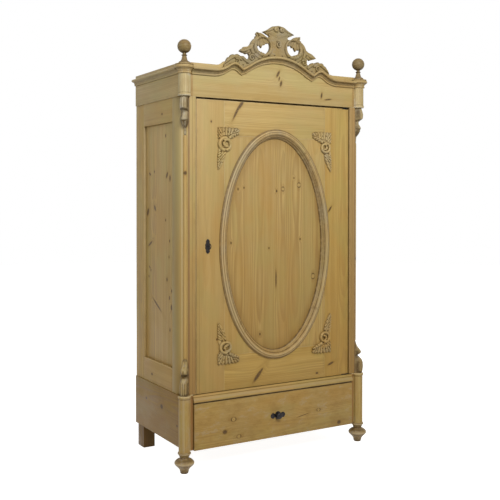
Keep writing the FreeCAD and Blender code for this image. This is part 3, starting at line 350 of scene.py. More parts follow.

# ---- Mesh building. A part is (vertices, faces), then each vertex's grime and painted shade, and its wear and painted highlight, if it has them.
def make(name, part, material, *nodes):
    """A piece from a part, in place of CAD nodes."""
    verts, faces, *values = part
    mesh = bpy.data.meshes.new(name)
    mesh.from_pydata([tuple(map(float, v)) for v in verts], [], faces)
    for key, value in zip(("grime_and_shade", "rubbed_and_highlight"), values):
        mesh.attributes.new(key, "FLOAT", "POINT").data.foreach_set("value", np.asarray(value, np.float32))
    bm = bmesh.new()
    bm.from_mesh(mesh)
    bmesh.ops.remove_doubles(bm, verts=bm.verts[:], dist=1e-6)
    bmesh.ops.dissolve_degenerate(bm, edges=bm.edges[:], dist=1e-6)
    return register(name, bm, mesh, material, nodes, 38)


def worn(node, material, width):
    """A board of the frame with its edges worn round."""
    bm = bmesh.new()
    bm.from_mesh(NODES[node].data)
    bmesh.ops.remove_doubles(bm, verts=bm.verts[:], dist=1e-6)
    bmesh.ops.dissolve_limit(bm, angle_limit=math.radians(1), verts=bm.verts[:], edges=bm.edges[:])
    sharp = [edge for edge in bm.edges if edge.is_manifold and edge.calc_face_angle() > math.radians(35)]
    bmesh.ops.bevel(bm, geom=sharp, offset=width, segments=2, profile=0.6, affect="EDGES", clamp_overlap=True)
    name = f"{node}_worn"
    return register(name, bm, bpy.data.meshes.new(name), material, [node], 30)


def register(name, bm, mesh, material, nodes, smooth):
    """A piece that stands for CAD nodes and rides on their body; edges sharper than smooth degrees stay sharp."""
    bmesh.ops.recalc_face_normals(bm, faces=bm.faces[:])
    bm.to_mesh(mesh)
    bm.free()
    mesh.shade_smooth()
    mesh.set_sharp_from_angle(angle=math.radians(smooth))
    mesh.materials.clear()
    mesh.materials.append(material)
    piece = bpy.data.objects.new(name, mesh)
    SCENE.collection.objects.link(piece)
    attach(piece, BODY_OF[nodes[0]])
    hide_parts(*nodes)
    return piece


def paint(material, *nodes):
    """CAD nodes that stay as they are get their material."""
    for node in nodes:
        for slot in NODES[node].material_slots:
            slot.material = material


def millimetres(points):
    return [tuple(value / 1000 for value in point) for point in points]


def trace(chain, run):
    """Points along a chain of (x, y, bulge) in millimetres; a bulge bends the run to the next point into an arc."""
    points = []
    for (x0, y0, bulge), (x1, y1, _) in zip(chain, chain[1:]):
        points.append((x0, y0))
        if bulge:
            lift = (1 - bulge * bulge) / (4 * bulge)
            cx, cy = (x0 + x1) / 2 - (y1 - y0) * lift, (y0 + y1) / 2 + (x1 - x0) * lift
            start, sweep, radius = math.atan2(y0 - cy, x0 - cx), 4 * math.atan(bulge), math.hypot(x0 - cx, y0 - cy)
            count = max(3, int(abs(radius * sweep) / run))
            for i in range(1, count):
                angle = start + sweep * i / count
                points.append((cx + radius * math.cos(angle), cy + radius * math.sin(angle)))
    return millimetres(points + [chain[-1][:2]])


def hump(value, at, half, power=2):
    """1 at a place, and nought well off it."""
    return np.exp(-(((value - at) / half) ** power))


def skin(rows, loop=False, caps=True):
    """Vertices and faces of a surface through closed rows of points."""
    rows = np.asarray(rows, float)
    m, n = rows.shape[:2]
    faces = []
    for i in range(m if loop else m - 1):
        for j in range(n):
            k, l = (i + 1) % m, (j + 1) % n
            faces.append((i * n + j, i * n + l, k * n + l, k * n + j))
    if caps and not loop:
        faces += [tuple(range(n)), tuple(range((m - 1) * n, m * n))]
    return rows.reshape(-1, 3), faces


def joined(*parts):
    """Several parts as one."""
    verts, faces = [], []
    for points, polygons, *_ in parts:
        shift = len(verts)
        verts += [tuple(p) for p in points]
        faces += [tuple(i + shift for i in polygon) for polygon in polygons]
    return verts, faces, *(np.concatenate(values) for values in zip(*(part[2:] for part in parts)))


def on_both_sides(part):
    """A part of the left side, and its mirror image."""
    points, faces, *values = part
    return joined(part, (np.asarray(points) * (-1, 1, 1), [face[::-1] for face in faces], *values))


def turned(profile, middle, axis="Z", segments=72, grime_and_shade_bands=()):
    """A lathe-turned shape about an axis through a point; grime_and_shade_bands is (low, high, amount) along the axis,
    darkened with grime and painted shade.
    """
    profile = np.asarray(profile, float)
    angles = np.arange(segments) * math.tau / segments
    r, h = profile[:, 0:1], profile[:, 1:2]
    c, s = r * np.cos(angles), r * np.sin(angles)
    h = np.repeat(h, segments, axis=1)
    rows = {"Z": (c, s, h), "-Y": (c, -h, s)}[axis]
    verts, faces = skin(np.stack(rows, axis=-1) + np.asarray(middle), caps=False)
    flat, values = h.reshape(-1), np.zeros(len(verts))
    for low, high, amount in grime_and_shade_bands:
        values = np.maximum(values, amount * np.clip(1 - np.abs(flat - (low + high) / 2) / ((high - low) / 2), 0, 1))
    return verts, faces, values


def carve_away(piece, boxes):
    """Cut boxes out of a piece and keep the result as its mesh."""
    for low, high in boxes:
        mesh = bpy.data.meshes.new("tool")
        bm = bmesh.new()
        bmesh.ops.create_cube(bm, size=1.0)
        bm.to_mesh(mesh)
        bm.free()
        tool = bpy.data.objects.new("tool", mesh)
        size = Vector(high) - Vector(low)
        tool.matrix_world = Matrix.Translation((Vector(low) + Vector(high)) / 2) @ Matrix.Diagonal((*size, 1))
        SCENE.collection.objects.link(tool)
        modifier = piece.modifiers.new("notch", "BOOLEAN")
        modifier.operation, modifier.solver, modifier.object = "DIFFERENCE", "EXACT", tool
        bpy.context.view_layer.update()
        evaluated = piece.evaluated_get(bpy.context.evaluated_depsgraph_get())
        result = bpy.data.meshes.new_from_object(evaluated)
        piece.modifiers.clear()
        piece.data = result
        bpy.data.objects.remove(tool)


def smooth_through(values, fine):
    """Catmull-Rom curve through values."""
    padded = np.concatenate([[2 * values[0] - values[1]], values, [2 * values[-1] - values[-2]]])
    index = np.minimum(fine.astype(int), len(values) - 2)
    t = fine - index
    p0, p1, p2, p3 = (padded[index + k] for k in range(4))
    return 0.5 * (2 * p1 + (p2 - p0) * t + (2 * p0 - 5 * p1 + 4 * p2 - p3) * t**2 + (3 * p1 - p0 - 3 * p2 + p3) * t**3)


class Carving:
    """Carved relief on a fine grid: an outline as a signed distance, and how far the face stands out.

    The grid's corners and run are in metres. Everything that is drawn on it is in millimetres, with its second
    coordinate up, or down where up is -1.
    """

    def __init__(self, low, high, run, face=0.0, groove=0.0014, up=1):
        self.run, self.groove, self.unit = run, groove, (1000, 1000 * up)
        self.x, self.z = np.meshgrid(np.arange(low[0], high[0] + run, run), np.arange(low[1], high[1] + run, run))
        self.field = np.full(self.x.shape, 1.0)
        self.height = np.full(self.x.shape, face)
        self.grime_and_shade = np.zeros(self.x.shape)

    def plate(self, outline):
        """Add what lies in a closed outline."""
        points = np.asarray(outline, float) / self.unit
        inside = np.zeros(self.x.shape, bool)
        best = np.full(self.x.shape, 1e9)
        for (x0, z0), (x1, z1) in zip(points, np.roll(points, -1, axis=0)):
            dx, dz = x1 - x0, z1 - z0
            t = np.clip(((self.x - x0) * dx + (self.z - z0) * dz) / (dx * dx + dz * dz), 0, 1)
            best = np.minimum(best, np.hypot(self.x - x0 - t * dx, self.z - z0 - t * dz))
            crosses = (z0 > self.z) != (z1 > self.z)
            with np.errstate(divide="ignore", invalid="ignore"):
                inside ^= crosses & (self.x < x0 + (self.z - z0) * dx / dz)
        self.field = np.minimum(self.field, np.where(inside, -best, best))

    def stroke(self, points, radii, low, high, vein=0.0, outline=True, groove=True):
        """A tapering half-round stroke along a smooth path, from height low at its edge to high."""
        points, radii = np.asarray(points, float) / self.unit, np.asarray(radii, float) / 1000
        low, high, vein = low / 1000, high / 1000, vein / 1000
        fine = np.linspace(0, len(points) - 1, 14 * (len(points) - 1) + 1)
        path = np.stack([smooth_through(points[:, i], fine) for i in (0, 1)], axis=1)
        sizes = np.maximum(smooth_through(radii, fine), 0.0004)
        best = np.full(self.x.shape, 1e9)
        share = np.full(self.x.shape, 9.0)
        for (px, pz), size in zip(path, sizes):
            away = np.hypot(self.x - px, self.z - pz)
            near = away - size < best
            best = np.where(near, away - size, best)
            share = np.where(near, away / size, share)
        inside = share < 1
        lift = np.sqrt(np.clip(1 - share**2, 0, 1))
        stand = low + (high - low) * lift - vein * hump(share, 0, 0.22)
        if outline:
            self.field = np.minimum(self.field, best)
        # the grooves along a stroke's edge are darkened with grime and painted shade
        if groove:
            rim = hump(best, 0, 0.0016) * (best > -0.0004)
            self.height = np.where(best > 0, self.height - self.groove * rim, self.height)
            self.grime_and_shade = np.maximum(self.grime_and_shade, 0.72 * rim)
        self.height = np.where(inside & (stand > self.height), stand, self.height)
        # a stroke's crown gets a painted highlight, and its edges and vein are darkened with grime and painted shade
        crown = 0.32 * hump(share, 0.25, 0.45)
        shading_and_grime = self.grime_and_shade * np.clip(0.2 + share**6, 0, 1) - crown + vein * 95 * hump(share, 0, 0.2)
        self.grime_and_shade = np.where(inside, shading_and_grime, self.grime_and_shade)

    def pits(self, spots, depth):
        """Round pits at (x, z, radius), darkened with grime and painted shade."""
        for *middle, radius in spots:
            x, z = np.array(middle) / self.unit
            pit = hump(np.hypot(self.x - x, self.z - z), 0, radius / 1000, 4)
            self.height -= depth * pit
            self.grime_and_shade = np.maximum(self.grime_and_shade, pit)

    def solid(self, back, least):
        """The carving as a closed part, with its flat back at y = back. Grime and painted shade are above nought, worn
        wood and painted highlight below.
        """
        field, run = self.field, self.run
        gz, gx = np.gradient(field, run)
        steep = np.maximum(gx**2 + gz**2, 0.2)
        outside = field > 0
        px = np.where(outside, self.x - field * gx / steep, self.x)
        pz = np.where(outside, self.z - field * gz / steep, self.z)
        cell = ~outside
        used = cell[:-1, :-1] | cell[1:, :-1] | cell[:-1, 1:] | cell[1:, 1:]
        fine = cell | (np.abs(field) < run * 1.6)
        used &= fine[:-1, :-1] & fine[1:, :-1] & fine[:-1, 1:] & fine[1:, 1:]
        rows, columns = np.nonzero(used)
        width = field.shape[1]
        index = rows * width + columns
        quads = np.stack([index, index + 1, index + width + 1, index + width], axis=1)
        names, flat = np.unique(quads, return_inverse=True)
        quads = flat.reshape(quads.shape)
        x, z = px.reshape(-1)[names], pz.reshape(-1)[names]
        height = np.maximum(self.height.reshape(-1)[names], least)
        count = len(names)
        front = np.stack([x, back - height, z], axis=1)
        rear = np.stack([x, np.full(count, back), z], axis=1)
        faces = [tuple(q) for q in quads] + [tuple(q[::-1] + count) for q in quads]
        edges = dict.fromkeys(edge for q in quads for edge in zip(q, np.roll(q, -1)))
        faces += [(a, a + count, b + count, b) for a, b in edges if (b, a) not in edges]
        grime_and_shade = np.concatenate([np.clip(self.grime_and_shade.reshape(-1)[names], -1, 1), np.zeros(count)])
        return np.concatenate([front, rear]), faces, np.maximum(grime_and_shade, 0) * 0.95, np.maximum(-grime_and_shade, 0)

# ---- Boards. Knots and lines are placed by (across, along the grain).
def board(node, grain, seed, width=0.0012, **settings):
    """A plank with edges worn to width: its rings are centred behind or beside it, by its seed."""
    low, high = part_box(node)
    order = ORDER[f"{grain} {settings.get('facing') or FACING[grain]}"]
    across, deep = "xyz".index(order[1]), "xyz".index(order[2])
    spread = (high[across] - low[across]) * ((seed * 0.37) % 1 - 0.5)
    pair = deep == 0 and low[0] < -0.3 and high[0] > 0.3
    worn(node, pine(
        node, grain, seed, box=(tuple(low), tuple(high)), heart=(low[across] + high[across]) / 2 + spread,
        depth=high[0] if pair else (low[deep] + high[deep]) / 2, fold=pair, **settings,
    ), width)


board("door_stile_lock", "Z", 1.3, wild=0.35, figure=0.2, tone=(0.935, 0.905, 0.84),
      knots=[(-0.36, 1.62, 0.0035), (-0.33, 0.6, 0.0035)], lines=[(-0.4215, 0.0014, 0.5, DIRT_AND_SHADE, 0.4, 1.1)])
board("door_stile_hinge", "Z", 2.6, wild=0.35, figure=0.9, tone=(0.96, 0.89, 0.64),
      knots=[(0.323, 1.208, 0.0045, 4.0, 35), (0.33, 0.42, 0.0055, 3.5, 70)])
board("door_rail_top", "X", 3.1, wild=0.3, figure=0.8, tone=(1.0, 0.98, 0.88),
      knots=[(1.676, -0.222, 0.0058, 8.0, 62), (1.706, -0.2, 0.007, 3.6, 55), (1.703, -0.298, 0.004)])
board("door_rail_bottom", "X", 4.7, wild=0.4, tone=(0.98, 0.95, 0.77),
      knots=[(0.405, -0.105, 0.0085, 4.4, 50), (0.428, -0.085, 0.0045, 3.0, 50), (0.38, 0.244, 0.005)])
board("door_corner_boards", "Z", 5.2, wild=0.3, tone=(1.0, 0.99, 0.93))
board("door_panel", "Z", 6.4, boards=(-0.29, 0.116), wild=0.45, figure=1.5, tone=(0.905, 0.87, 0.75),
      knots=[(-0.209, 1.306, 0.004), (-0.176, 1.313, 0.0035), (0.009, 1.298, 0.0045), (-0.247, 1.05, 0.004),
             (-0.035, 1.019, 0.0035), (0.148, 1.059, 0.0035), (0.006, 0.866, 0.0035, 12.0), (-0.086, 0.603, 0.0045),
             (0.111, 1.363, 0.003)],
      sound=[(0.046, 1.308, 0.0095, 1.1), (0.141, 1.328, 0.0105, 1.1), (0.227, 0.87, 0.0115, 1.2)],
      oval=(OVAL[0] - 0.045, OVAL[1] - 0.045, OVAL[2]))
board("frieze_board", "X", 7.3, wild=0.35, figure=0.8, tone=(0.99, 1.03, 1.04),
      knots=[(1.868, 0.005, 0.006, 3.0, 60), (1.846, 0.012, 0.0035, 3.0, 75), (1.822, 0.022, 0.006, 2.4, 75),
             (1.78, 0.265, 0.005, 3.0, 80), (1.762, 0.305, 0.0035, 6.0, 8)],
      bands=[(-0.464, 0.0075, 0.55, RUST), (0.464, 0.0075, 0.45, RUST)])
# the dark line along its top is painted shadow under the ledge moulding
board("drawer_front", "X", 8.9, wild=0.6, figure=1.3, blotch=(0.5, 20.0), grey=0.12, tone=(0.96, 0.95, 0.87),
      width=0.002, lines=[(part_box("drawer_front")[1][2], 0.0035, 0.8)],
      knots=[(0.163, -0.295, 0.01, 1.2), (0.118, 0.371, 0.0095, 1.2), (0.183, 0.15, 0.0016, 22.0, 10)],
      sound=[(0.216, -0.248, 0.011, 1.15), (0.131, -0.219, 0.01, 1.1), (0.198, 0.243, 0.0085, 1.2)])
PANEL_KNOTS = [
    (-0.046, 1.56, 0.0055), (-0.061, 1.372, 0.008, 2.0, -35), (-0.095, 1.357, 0.0065, 2.2, 0),
    (0.138, 1.382, 0.0055, 2.2, 60), (0.085, 1.392, 0.0045), (0.078, 1.214, 0.0085, 1.8, 35),
    (0.163, 1.193, 0.0115, 1.7, -30), (-0.045, 1.158, 0.0045), (0.134, 1.037, 0.0055, 4.6, -62),
    (-0.09, 1.06, 0.005), (-0.083, 0.984, 0.0045), (0.141, 0.92, 0.0035, 3.0, 60), (0.127, 0.906, 0.0045),
    (-0.061, 0.875, 0.0065), (-0.112, 0.825, 0.0055), (-0.09, 0.79, 0.006), (-0.11, 0.747, 0.0075, 1.8, 0),
    (0.055, 0.743, 0.0052, 10.0, 61), (-0.094, 0.639, 0.0055), (0.151, 0.874, 0.0045),
]
# The right side can't be seen in the photograph: its panel has the left one's knots turned round.
SIDE_KNOTS = {
    "left": dict(
        panel=PANEL_KNOTS, rails=[(0.398, 0.088, 0.006), (1.664, -0.031, 0.005)],
        base=[(0.265, -0.034, 0.01, 1.3), (0.268, 0.148, 0.005), (0.212, -0.204, 0.005)],
    ),
    "right": dict(
        panel=[(-y, 2.1 - z, r) for y, z, r, *_ in PANEL_KNOTS], rails=[(0.43, -0.05, 0.007), (1.6, 0.1, 0.005)],
        base=[(0.2, 0.09, 0.01, 1.3), (0.29, -0.13, 0.005)],
    ),
}
RUST_FADE = {"left": (0.35, 1.25), "right": (2.0, 2.1)}
POST_PINE = dict(wild=0.2, figure=1.2, blotch=(0.35, 22.0), rings=130.0, heart=COLUMN[0] + 0.01, depth=COLUMN[1],
                 fold=True, log=0.06)
for side, sign in SIDES:
    seed, knots = 10.0 + sign, SIDE_KNOTS[side]
    board(f"side_panel_{side}", "Z", seed, facing="side", boards=(-0.2, 0.145), knots=knots["panel"], wild=0.7,
          figure=1.7, tone=(1.03, 1.01, 0.94))
    inner_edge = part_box(f"side_rails_{side}")[1][1]
    # the pale line on its inner edge is a painted highlight
    board(f"back_stile_{side}", "Z", seed + 0.4, facing="side", wild=0.5, tone=(0.95, 0.91, 0.79),
          lines=[(inner_edge, 0.0035, 0.8, PALE)])
    # the pale line on the lower rail's top edge is a painted highlight
    board(f"side_rails_{side}", "Y", seed + 0.8, knots=knots["rails"], wild=0.5, tone=(0.93, 0.88, 0.74),
          lines=[(0.466, 0.0034, 0.7, PALE)])
    board(f"base_side_{side}", "Y", seed + 1.2, knots=knots["base"], wild=0.6, figure=1.5, blotch=(0.3, 16.0),
          tone=(0.58, 0.51, 0.265))
    # the pale line beside the bead is a painted highlight
    board(f"corner_post_{side}", "Z", seed + 1.6, wild=0.45, figure=0.4, tone=(0.95, 0.95, 0.92), width=0.0008,
          lines=[(sign * 0.46, 0.03, 0.45, RUST, *RUST_FADE[side]), (sign * 0.478, 0.0035, 0.75, UMBER),
                 (sign * 0.46, 0.001), (sign * 0.5215, 0.019, 0.42, MOSS), (sign * 0.502, 0.0026, 0.6, PALE)])
    # on the base and frieze posts, the pale band on each ring is wear and painted highlight, and the dark line beside
    # it painted shade
    paint(pine(f"base_post_{side}", "Z", seed + 2.0, tone=(0.96, 0.98, 0.99), lines=[(0.461, 0.013, 0.8, RUST)],
               bands=[(0.3545, 0.004, 0.95, PALE), (0.3415, 0.002, 0.8, DIRT_AND_SHADE)], glints=[(0.515, 0.006)],
               **POST_PINE), f"base_post_{side}")
    paint(pine(f"frieze_post_{side}", "Z", seed + 2.1, tone=(1.05, 1.16, 1.38),
               bands=[(1.732, 0.0035, 0.6, PALE), (1.744, 0.002, 0.8, DIRT_AND_SHADE)], **POST_PINE), f"frieze_post_{side}")
    board(f"drawer_side_{side}", "Y", seed + 2.4, tone=(0.95, 0.97, 1.0))
    board(f"drawer_runner_{side}", "Y", seed + 2.8, facing="top", tone=(0.9, 0.9, 0.9))
# its lines are painted shade at the step in its profile and painted shadow along its underside
board("ledge_moulding", "X", 15.1, wild=0.25, tone=(1.02, 1.01, 0.95), width=0.0008,
      lines=[(0.3425, 0.0018, 0.75), (0.3185, 0.0032, 0.9)], glints=[(0.333, 0.008)])
# painted shadow: the rear feet are toned dark
board("rear_feet", "Z", 15.6, tone=(0.35, 0.28, 0.13))
board("base_back", "X", 16.2, grey=0.2, tone=(0.85, 0.85, 0.86))
board("cupboard_floor", "X", 16.7, facing="top")
board("carcass_top", "X", 17.2, facing="top")
board("shelves", "X", 17.9, facing="top")
board("shelf_battens", "Y", 18.3)
board("frieze_sides", "Y", 18.8, wild=0.35, tone=(0.93, 0.95, 0.98))
board("frieze_back_rail", "X", 19.4, grey=0.2, tone=(0.85, 0.85, 0.86))
board("dust_board", "X", 19.9, facing="top", grey=0.25, tone=(0.8, 0.8, 0.82))
board("drawer_back", "X", 20.3)
board("drawer_bottom", "X", 20.8, facing="top")
paint(pine("back_boards", "Z", 21.4, boards=(-0.493, 0.2465), grey=0.15, depth=0.27, tone=(0.88, 0.88, 0.9)),
      "back_boards")

# ---- Turned work. Profiles are (radius, height, bulge).
COLUMN_PINE = dict(wild=0.2, heart=0.505, depth=COLUMN[1], fold=True, log=0.05)
# the pale bands on the bun and its ring are painted highlights
turned_pine = pine("turned_pine", "Z", 23.0, grey=0.25, blotch=(0.8, 48.0), rings=110.0, figure=1.5,
                   tone=(0.92, 0.96, 1.24), bands=[(0.0475, 0.006, 0.8, PALE), (0.09, 0.0042, 0.7, PALE)],
                   **COLUMN_PINE)
capital_pine = pine("capital_pine", "Z", 23.4, grey=0.2, blotch=(0.35, 40.0), rings=120.0, tone=(0.96, 0.97, 0.96),
                    **COLUMN_PINE)
finial_pine = pine("finial_pine", "Y", 24.0, facing="top", wild=0.15, grey=0.3, blotch=(0.35, 50.0), rings=78.0,
                   tone=(0.5, 0.48, 0.45), figure=2.0, heart=0.512, depth=1.95, fold=True, log=0.038)
FOOT = [
    (0, 0, 0), (16.5, 0, 0.2), (18.4, 2.5, 0), (21.3, 16.5, 0), (22.4, 18.8, -0.06), (34.5, 32.5, 0.04),
    (41.8, 39.6, 0.14), (45.9, 47.5, 0.2), (42.6, 56.6, 0.05), (34.0, 64.0, 0), (24.5, 68.2, -0.15),
    (21.2, 72.2, -0.15), (22.4, 76.6, 0), (26.5, 85.6, 0), (30.0, 89.2, 0.3), (30.4, 93.6, 0.2), (28.6, 97.6, 0.1),
    (26.6, 99, 0), (0, 99, 0),
]
# bands of the feet darkened with grime and painted shade, the bun's underside among them
FOOT_GRIME_AND_SHADE = [(0.062, 0.083, 1.0), (0.053, 0.073, 0.85), (-0.02, 0.026, 0.9), (0.094, 0.099, 0.7), (0.031, 0.042, 0.8)]
FINIAL = [
    (0, 0, 0), (24.5, 0, 0.4), (26.8, 5, 0.3), (24.5, 10.5, 0), (22, 11.5, -0.28), (12.5, 27, -0.1), (9.8, 37.5, 0),
    (12.5, 38.5, 0.5), (12.5, 42, 0), (9.0, 43.5, -0.2), (9.0, 49.5, 0.0),
]
FINIAL_FOOT, BALL, BALL_MIDDLE, NECK = 1.875, 32, 81, 9     # height that it stands at, and its ball in millimetres
CAPITAL = [
    (0, 0, 0), (31, 0, 0.3), (33.2, 4, 0.3), (32, 8, 0), (32, 9.5, -0.3), (38, 19.5, 0), (39.8, 20.2, 0),
    (39.8, 22.5, 0), (42.5, 23.5, 0.35), (46.7, 30, 0.35), (43.2, 37.2, 0), (41.0, 38, 0), (41.0, 39.5, 0),
    (43.4, 40, 0.2), (43.4, 43, 0), (0, 43, 0),
]


def on_columns(profile, z, grime_and_shade_bands):
    """A turned shape on both corner columns."""
    return joined(*(turned(profile, (sign * COLUMN[0], COLUMN[1], z), grime_and_shade_bands=grime_and_shade_bands) for _, sign in SIDES))


for side, sign in SIDES:
    foot = turned(trace(FOOT, 1.2), (sign * COLUMN[0], COLUMN[1], 0), grime_and_shade_bands=FOOT_GRIME_AND_SHADE)
    make(f"front_foot_{side}_turned", foot, turned_pine, f"front_foot_{side}")
around = np.linspace(math.asin(NECK / BALL), math.pi - 1e-4, 40)
ball = [(BALL * math.sin(a), BALL_MIDDLE - BALL * math.cos(a)) for a in around] + [(0, BALL_MIDDLE + BALL)]
finials = on_columns(trace(FINIAL, 1.0) + millimetres(ball), FINIAL_FOOT,
                     [(0.035, 0.046, 0.8), (0.046, 0.062, 0.9), (0.008, 0.014, 0.7)])
make("finials_turned", finials, finial_pine, "finials")
capitals = on_columns(trace(CAPITAL, 1.0), LINE, [(0.007, 0.013, 0.8), (0.019, 0.025, 0.9), (0.036, 0.0405, 0.9)])
capitals = make("capitals_turned", capitals, capital_pine, "capitals")
# room for the frieze board and for the side friezes
carve_away(capitals, [((left, front, 1.7), (right, 0.0, 1.95)) for left, right, front in (
    (-FRIEZE_HALF, FRIEZE_HALF, FRONT), (-SIDE_OUTER, -SIDE_INNER, SIDE_FRONT), (SIDE_INNER, SIDE_OUTER, SIDE_FRONT))])

# ---- Mouldings. Profiles are (out, up, bulge).
PEDIMENT = [
    (0, 85, -0.145), (155.05, 39.015, 0.048), (203, 14.025, 0), (228.9, 31.96, -0.3), (262.15, 34, 0),
    (284.9, 19.975, 0.123), (350, 0, 0), (500, 0, 0),
]
NOSE = [
    (0, 0, 0), (6.5, 0, 0), (7.5, 3.5, 0.2), (7.0, 6.5, 0), (8.0, 7.0, 0), (8.0, 8.5, -0.42), (19.5, 18.5, 0),
    (20.5, 18.5, 0), (20.5, 19.5, 0.15), (25.0, 21.0, 0.45), (27.0, 28.5, 0.25), (22.5, 31.6, 0), (0, 32, 0),
]
SIDE_NOSE = [
    (0, 0, 0), (5, 0, 0), (6, 3, 0.2), (5.6, 6, 0), (6.4, 6.6, -0.42), (15.5, 18, 0), (16.2, 18.6, 0.15),
    (19.2, 20, 0.45), (21, 28, 0.25), (17.5, 31.6, 0), (0, 32, 0),
]
PEDIMENT_STEP = 0.008
CAPITAL_ROOM = 0.034                        # half width of the notch for a capital


def cornice_front():
    """The arched front moulding, with grime and painted shade in its cove and quirks."""
    half = trace(PEDIMENT, 4.0)
    points = [(-x, z) for x, z in half[:0:-1]] + half
    line = [points[0]]
    for point in points[1:]:
        start = line[-1]
        count = max(1, int(math.dist(start, point) / PEDIMENT_STEP))
        line += [tuple(a + (b - a) * i / count for a, b in zip(start, point)) for i in range(1, count + 1)]
    profile = trace(NOSE, 0.9)
    shading_and_grime = [max(0.42 * hump(h, 0.0135, 0.006, 6), 0.95 * hump(h, 0.0084, 0.0013), 0.95 * hump(h, 0.0186, 0.0013))
            if p > 0.004 else 0.0 for p, h in profile]
    return *skin([[(x, FRONT - p, LINE + z + h) for p, h in profile] for x, z in line]), shading_and_grime * len(line)


def cornice_side(sign):
    """The straight moulding of one side, with grime and painted shade in its cove."""
    profile = trace(SIDE_NOSE, 0.9)
    rows = [[(sign * (SIDE_OUTER + p), y, LINE + h) for p, h in profile] for y in np.linspace(SIDE_FRONT, REAR, 60)]
    return *skin(rows), [0.4 * hump(h, 0.0125, 0.0055, 4) if p > 0.004 else 0.0 for p, h in profile] * len(rows)


moulded_pine = pine("moulded_pine", "X", 25.0, wild=0.2, grey=0.2, tone=(0.86, 0.87, 0.9), depth=FRONT)
side_moulded = pine("side_moulded_pine", "Y", 26.0, wild=0.2, grey=0.2, tone=(0.88, 0.89, 0.92), depth=0.53, fold=True)
cornice = make("cornice_front_moulding", cornice_front(), moulded_pine, "cornice_front")
carve_away(cornice, [tuple((sign * COLUMN[0] + move, COLUMN[1] + move, z)
                           for move, z in ((-CAPITAL_ROOM, 1.8), (CAPITAL_ROOM, 1.874))) for _, sign in SIDES])
make("cornice_side_mouldings", joined(cornice_side(-1), cornice_side(1)), side_moulded, "cornice_sides")


def oval_moulding():
    """Moulding round the oval, with a lip down to the panel, grime and painted shade on its inner part strongest at its
    upper right, painted highlights on its crowns strongest at its lower left, and a few open joints.
    """
    profile = trace([
        (0, 0, 0), (0, 4.5, 0.3), (2.6, 6.0, 0), (4.0, 5.2, 0), (4.6, 5.2, 0), (6.0, 8.0, -0.25), (13.4, 12.9, 0),
        (14.3, 12.0, 0), (15.2, 13.4, -0.33), (28.5, 7.2, 0), (29.5, 5.4, 0), (31.0, 5.2, -0.3), (35.5, 4.2, 0.25),
        (43.5, -6.0, 0), (44.9, -8.0, 0), (45, -12, 0), (31, -12, 0), (31, 0, 0),
    ], 0.8)
    grooves = [(0.0005, 0.0018), (0.0045, 0.0022), (0.0143, 0.0013), (0.03, 0.0028), (0.0446, 0.004)]
    joints, painted_shade_at = [0.87, 0.97, 2.22, 3.9, 4.01, 5.635], 1.0
    a, b, middle = OVAL
    rows, grime_and_shade, shine = [], [], []
    for t in np.arange(420) * math.tau / 420:
        normal = np.array([math.cos(t) / a, math.sin(t) / b])
        normal /= np.linalg.norm(normal)
        x, z = a * math.cos(t), b * math.sin(t)
        rows.append([(x - normal[0] * p, DOOR - h, middle + z - normal[1] * p) for p, h in profile])
        # grime and painted shade on the inner part, strongest towards painted_shade_at
        shading_and_grime = 0.2 + 0.42 * max(0.0, math.cos(t - painted_shade_at))
        crack = 0.75 * max(0.0, 1 - min(abs(t - at) for at in joints) / 0.022)
        for p, h in profile:
            # grooves and the lip at the panel get grime and painted shade, the open joints are dark, and the crowns get
            # a painted highlight opposite painted_shade_at
            groove = max(0.85 * hump(p, at, half) for at, half in grooves)
            crowns = hump(p, 0.0085, 0.003) + hump(p, 0.0195, 0.003)
            shine.append(0.6 * crowns * (0.5 - 0.5 * math.cos(t - painted_shade_at)))
            grime_and_shade.append(max(groove, (p > 0.0425) * 0.95, shading_and_grime * (p > 0.0315), 0.5 * shading_and_grime * (p > 0.022),
                            crack * (0.018 < p < 0.044)))
    return *skin(rows, loop=True), grime_and_shade, shine


oval_pine = pine("oval_pine", "Z", 27.5, wild=0.5, grey=0.42, tone=(0.97, 0.97, 1.03), depth=DOOR)
make("oval_moulding_swept", oval_moulding(), oval_pine, "oval_moulding")


def on_cant(across, out, z):
    """A point on the left canted corner: across it, out of it and up."""
    turn = math.sqrt(0.5)
    return (-(CANT[0] + (out - across) * turn), CANT[1] - (out + across) * turn, z)


def bead():
    """Half-round bead between two thin quirks darkened with grime and painted shade, with rounded ends darkened the
    same way.
    """
    half, sink, low, high, end, rise = 0.011, 0.007, 0.52, 1.552, 0.01, 0.0005
    length, chord = high - low, math.sqrt(half**2 - sink**2)
    flange = chord + 0.002
    taper = np.linspace(0, 1, 8) ** 1.6 * end
    rows, grime_and_shade = [], []
    for v in np.concatenate([taper, [0.3, 0.6], length - taper[::-1]]):
        left = min(v, length - v)
        shrink = math.sqrt(max(0.0, 1 - (1 - left / end) ** 2)) if left < end else 1.0
        thin = max(shrink, 0.05)
        foot = chord * thin + 0.0004
        angles = np.linspace(-math.acos(sink / half), math.acos(sink / half), 15)[1:-1]
        row = [(-flange, 0.0), (-flange, rise), (-foot, rise)]
        row += [(math.sin(a) * half * thin, (math.cos(a) * half - sink) * shrink) for a in angles]
        row += [(foot, rise), (flange, rise), (flange, 0.0)]
        rows.append([on_cant(s, o, low + v) for s, o in row])
        grime_and_shade += [0.9 if shrink < 0.5 else 0.55 if abs(s) > chord * 0.93 else 0.0 for s, _ in row]
    return *skin(rows), grime_and_shade


bead_pine = pine("bead_pine", "Z", 28.5, wild=0.7, knots=[(-0.492, 1.378, 0.006), (0.492, 0.95, 0.005)],
                 tone=(1.02, 0.98, 0.88), depth=CANT[1])
make("half_rounds_beads", on_both_sides(bead()), bead_pine, "half_rounds")

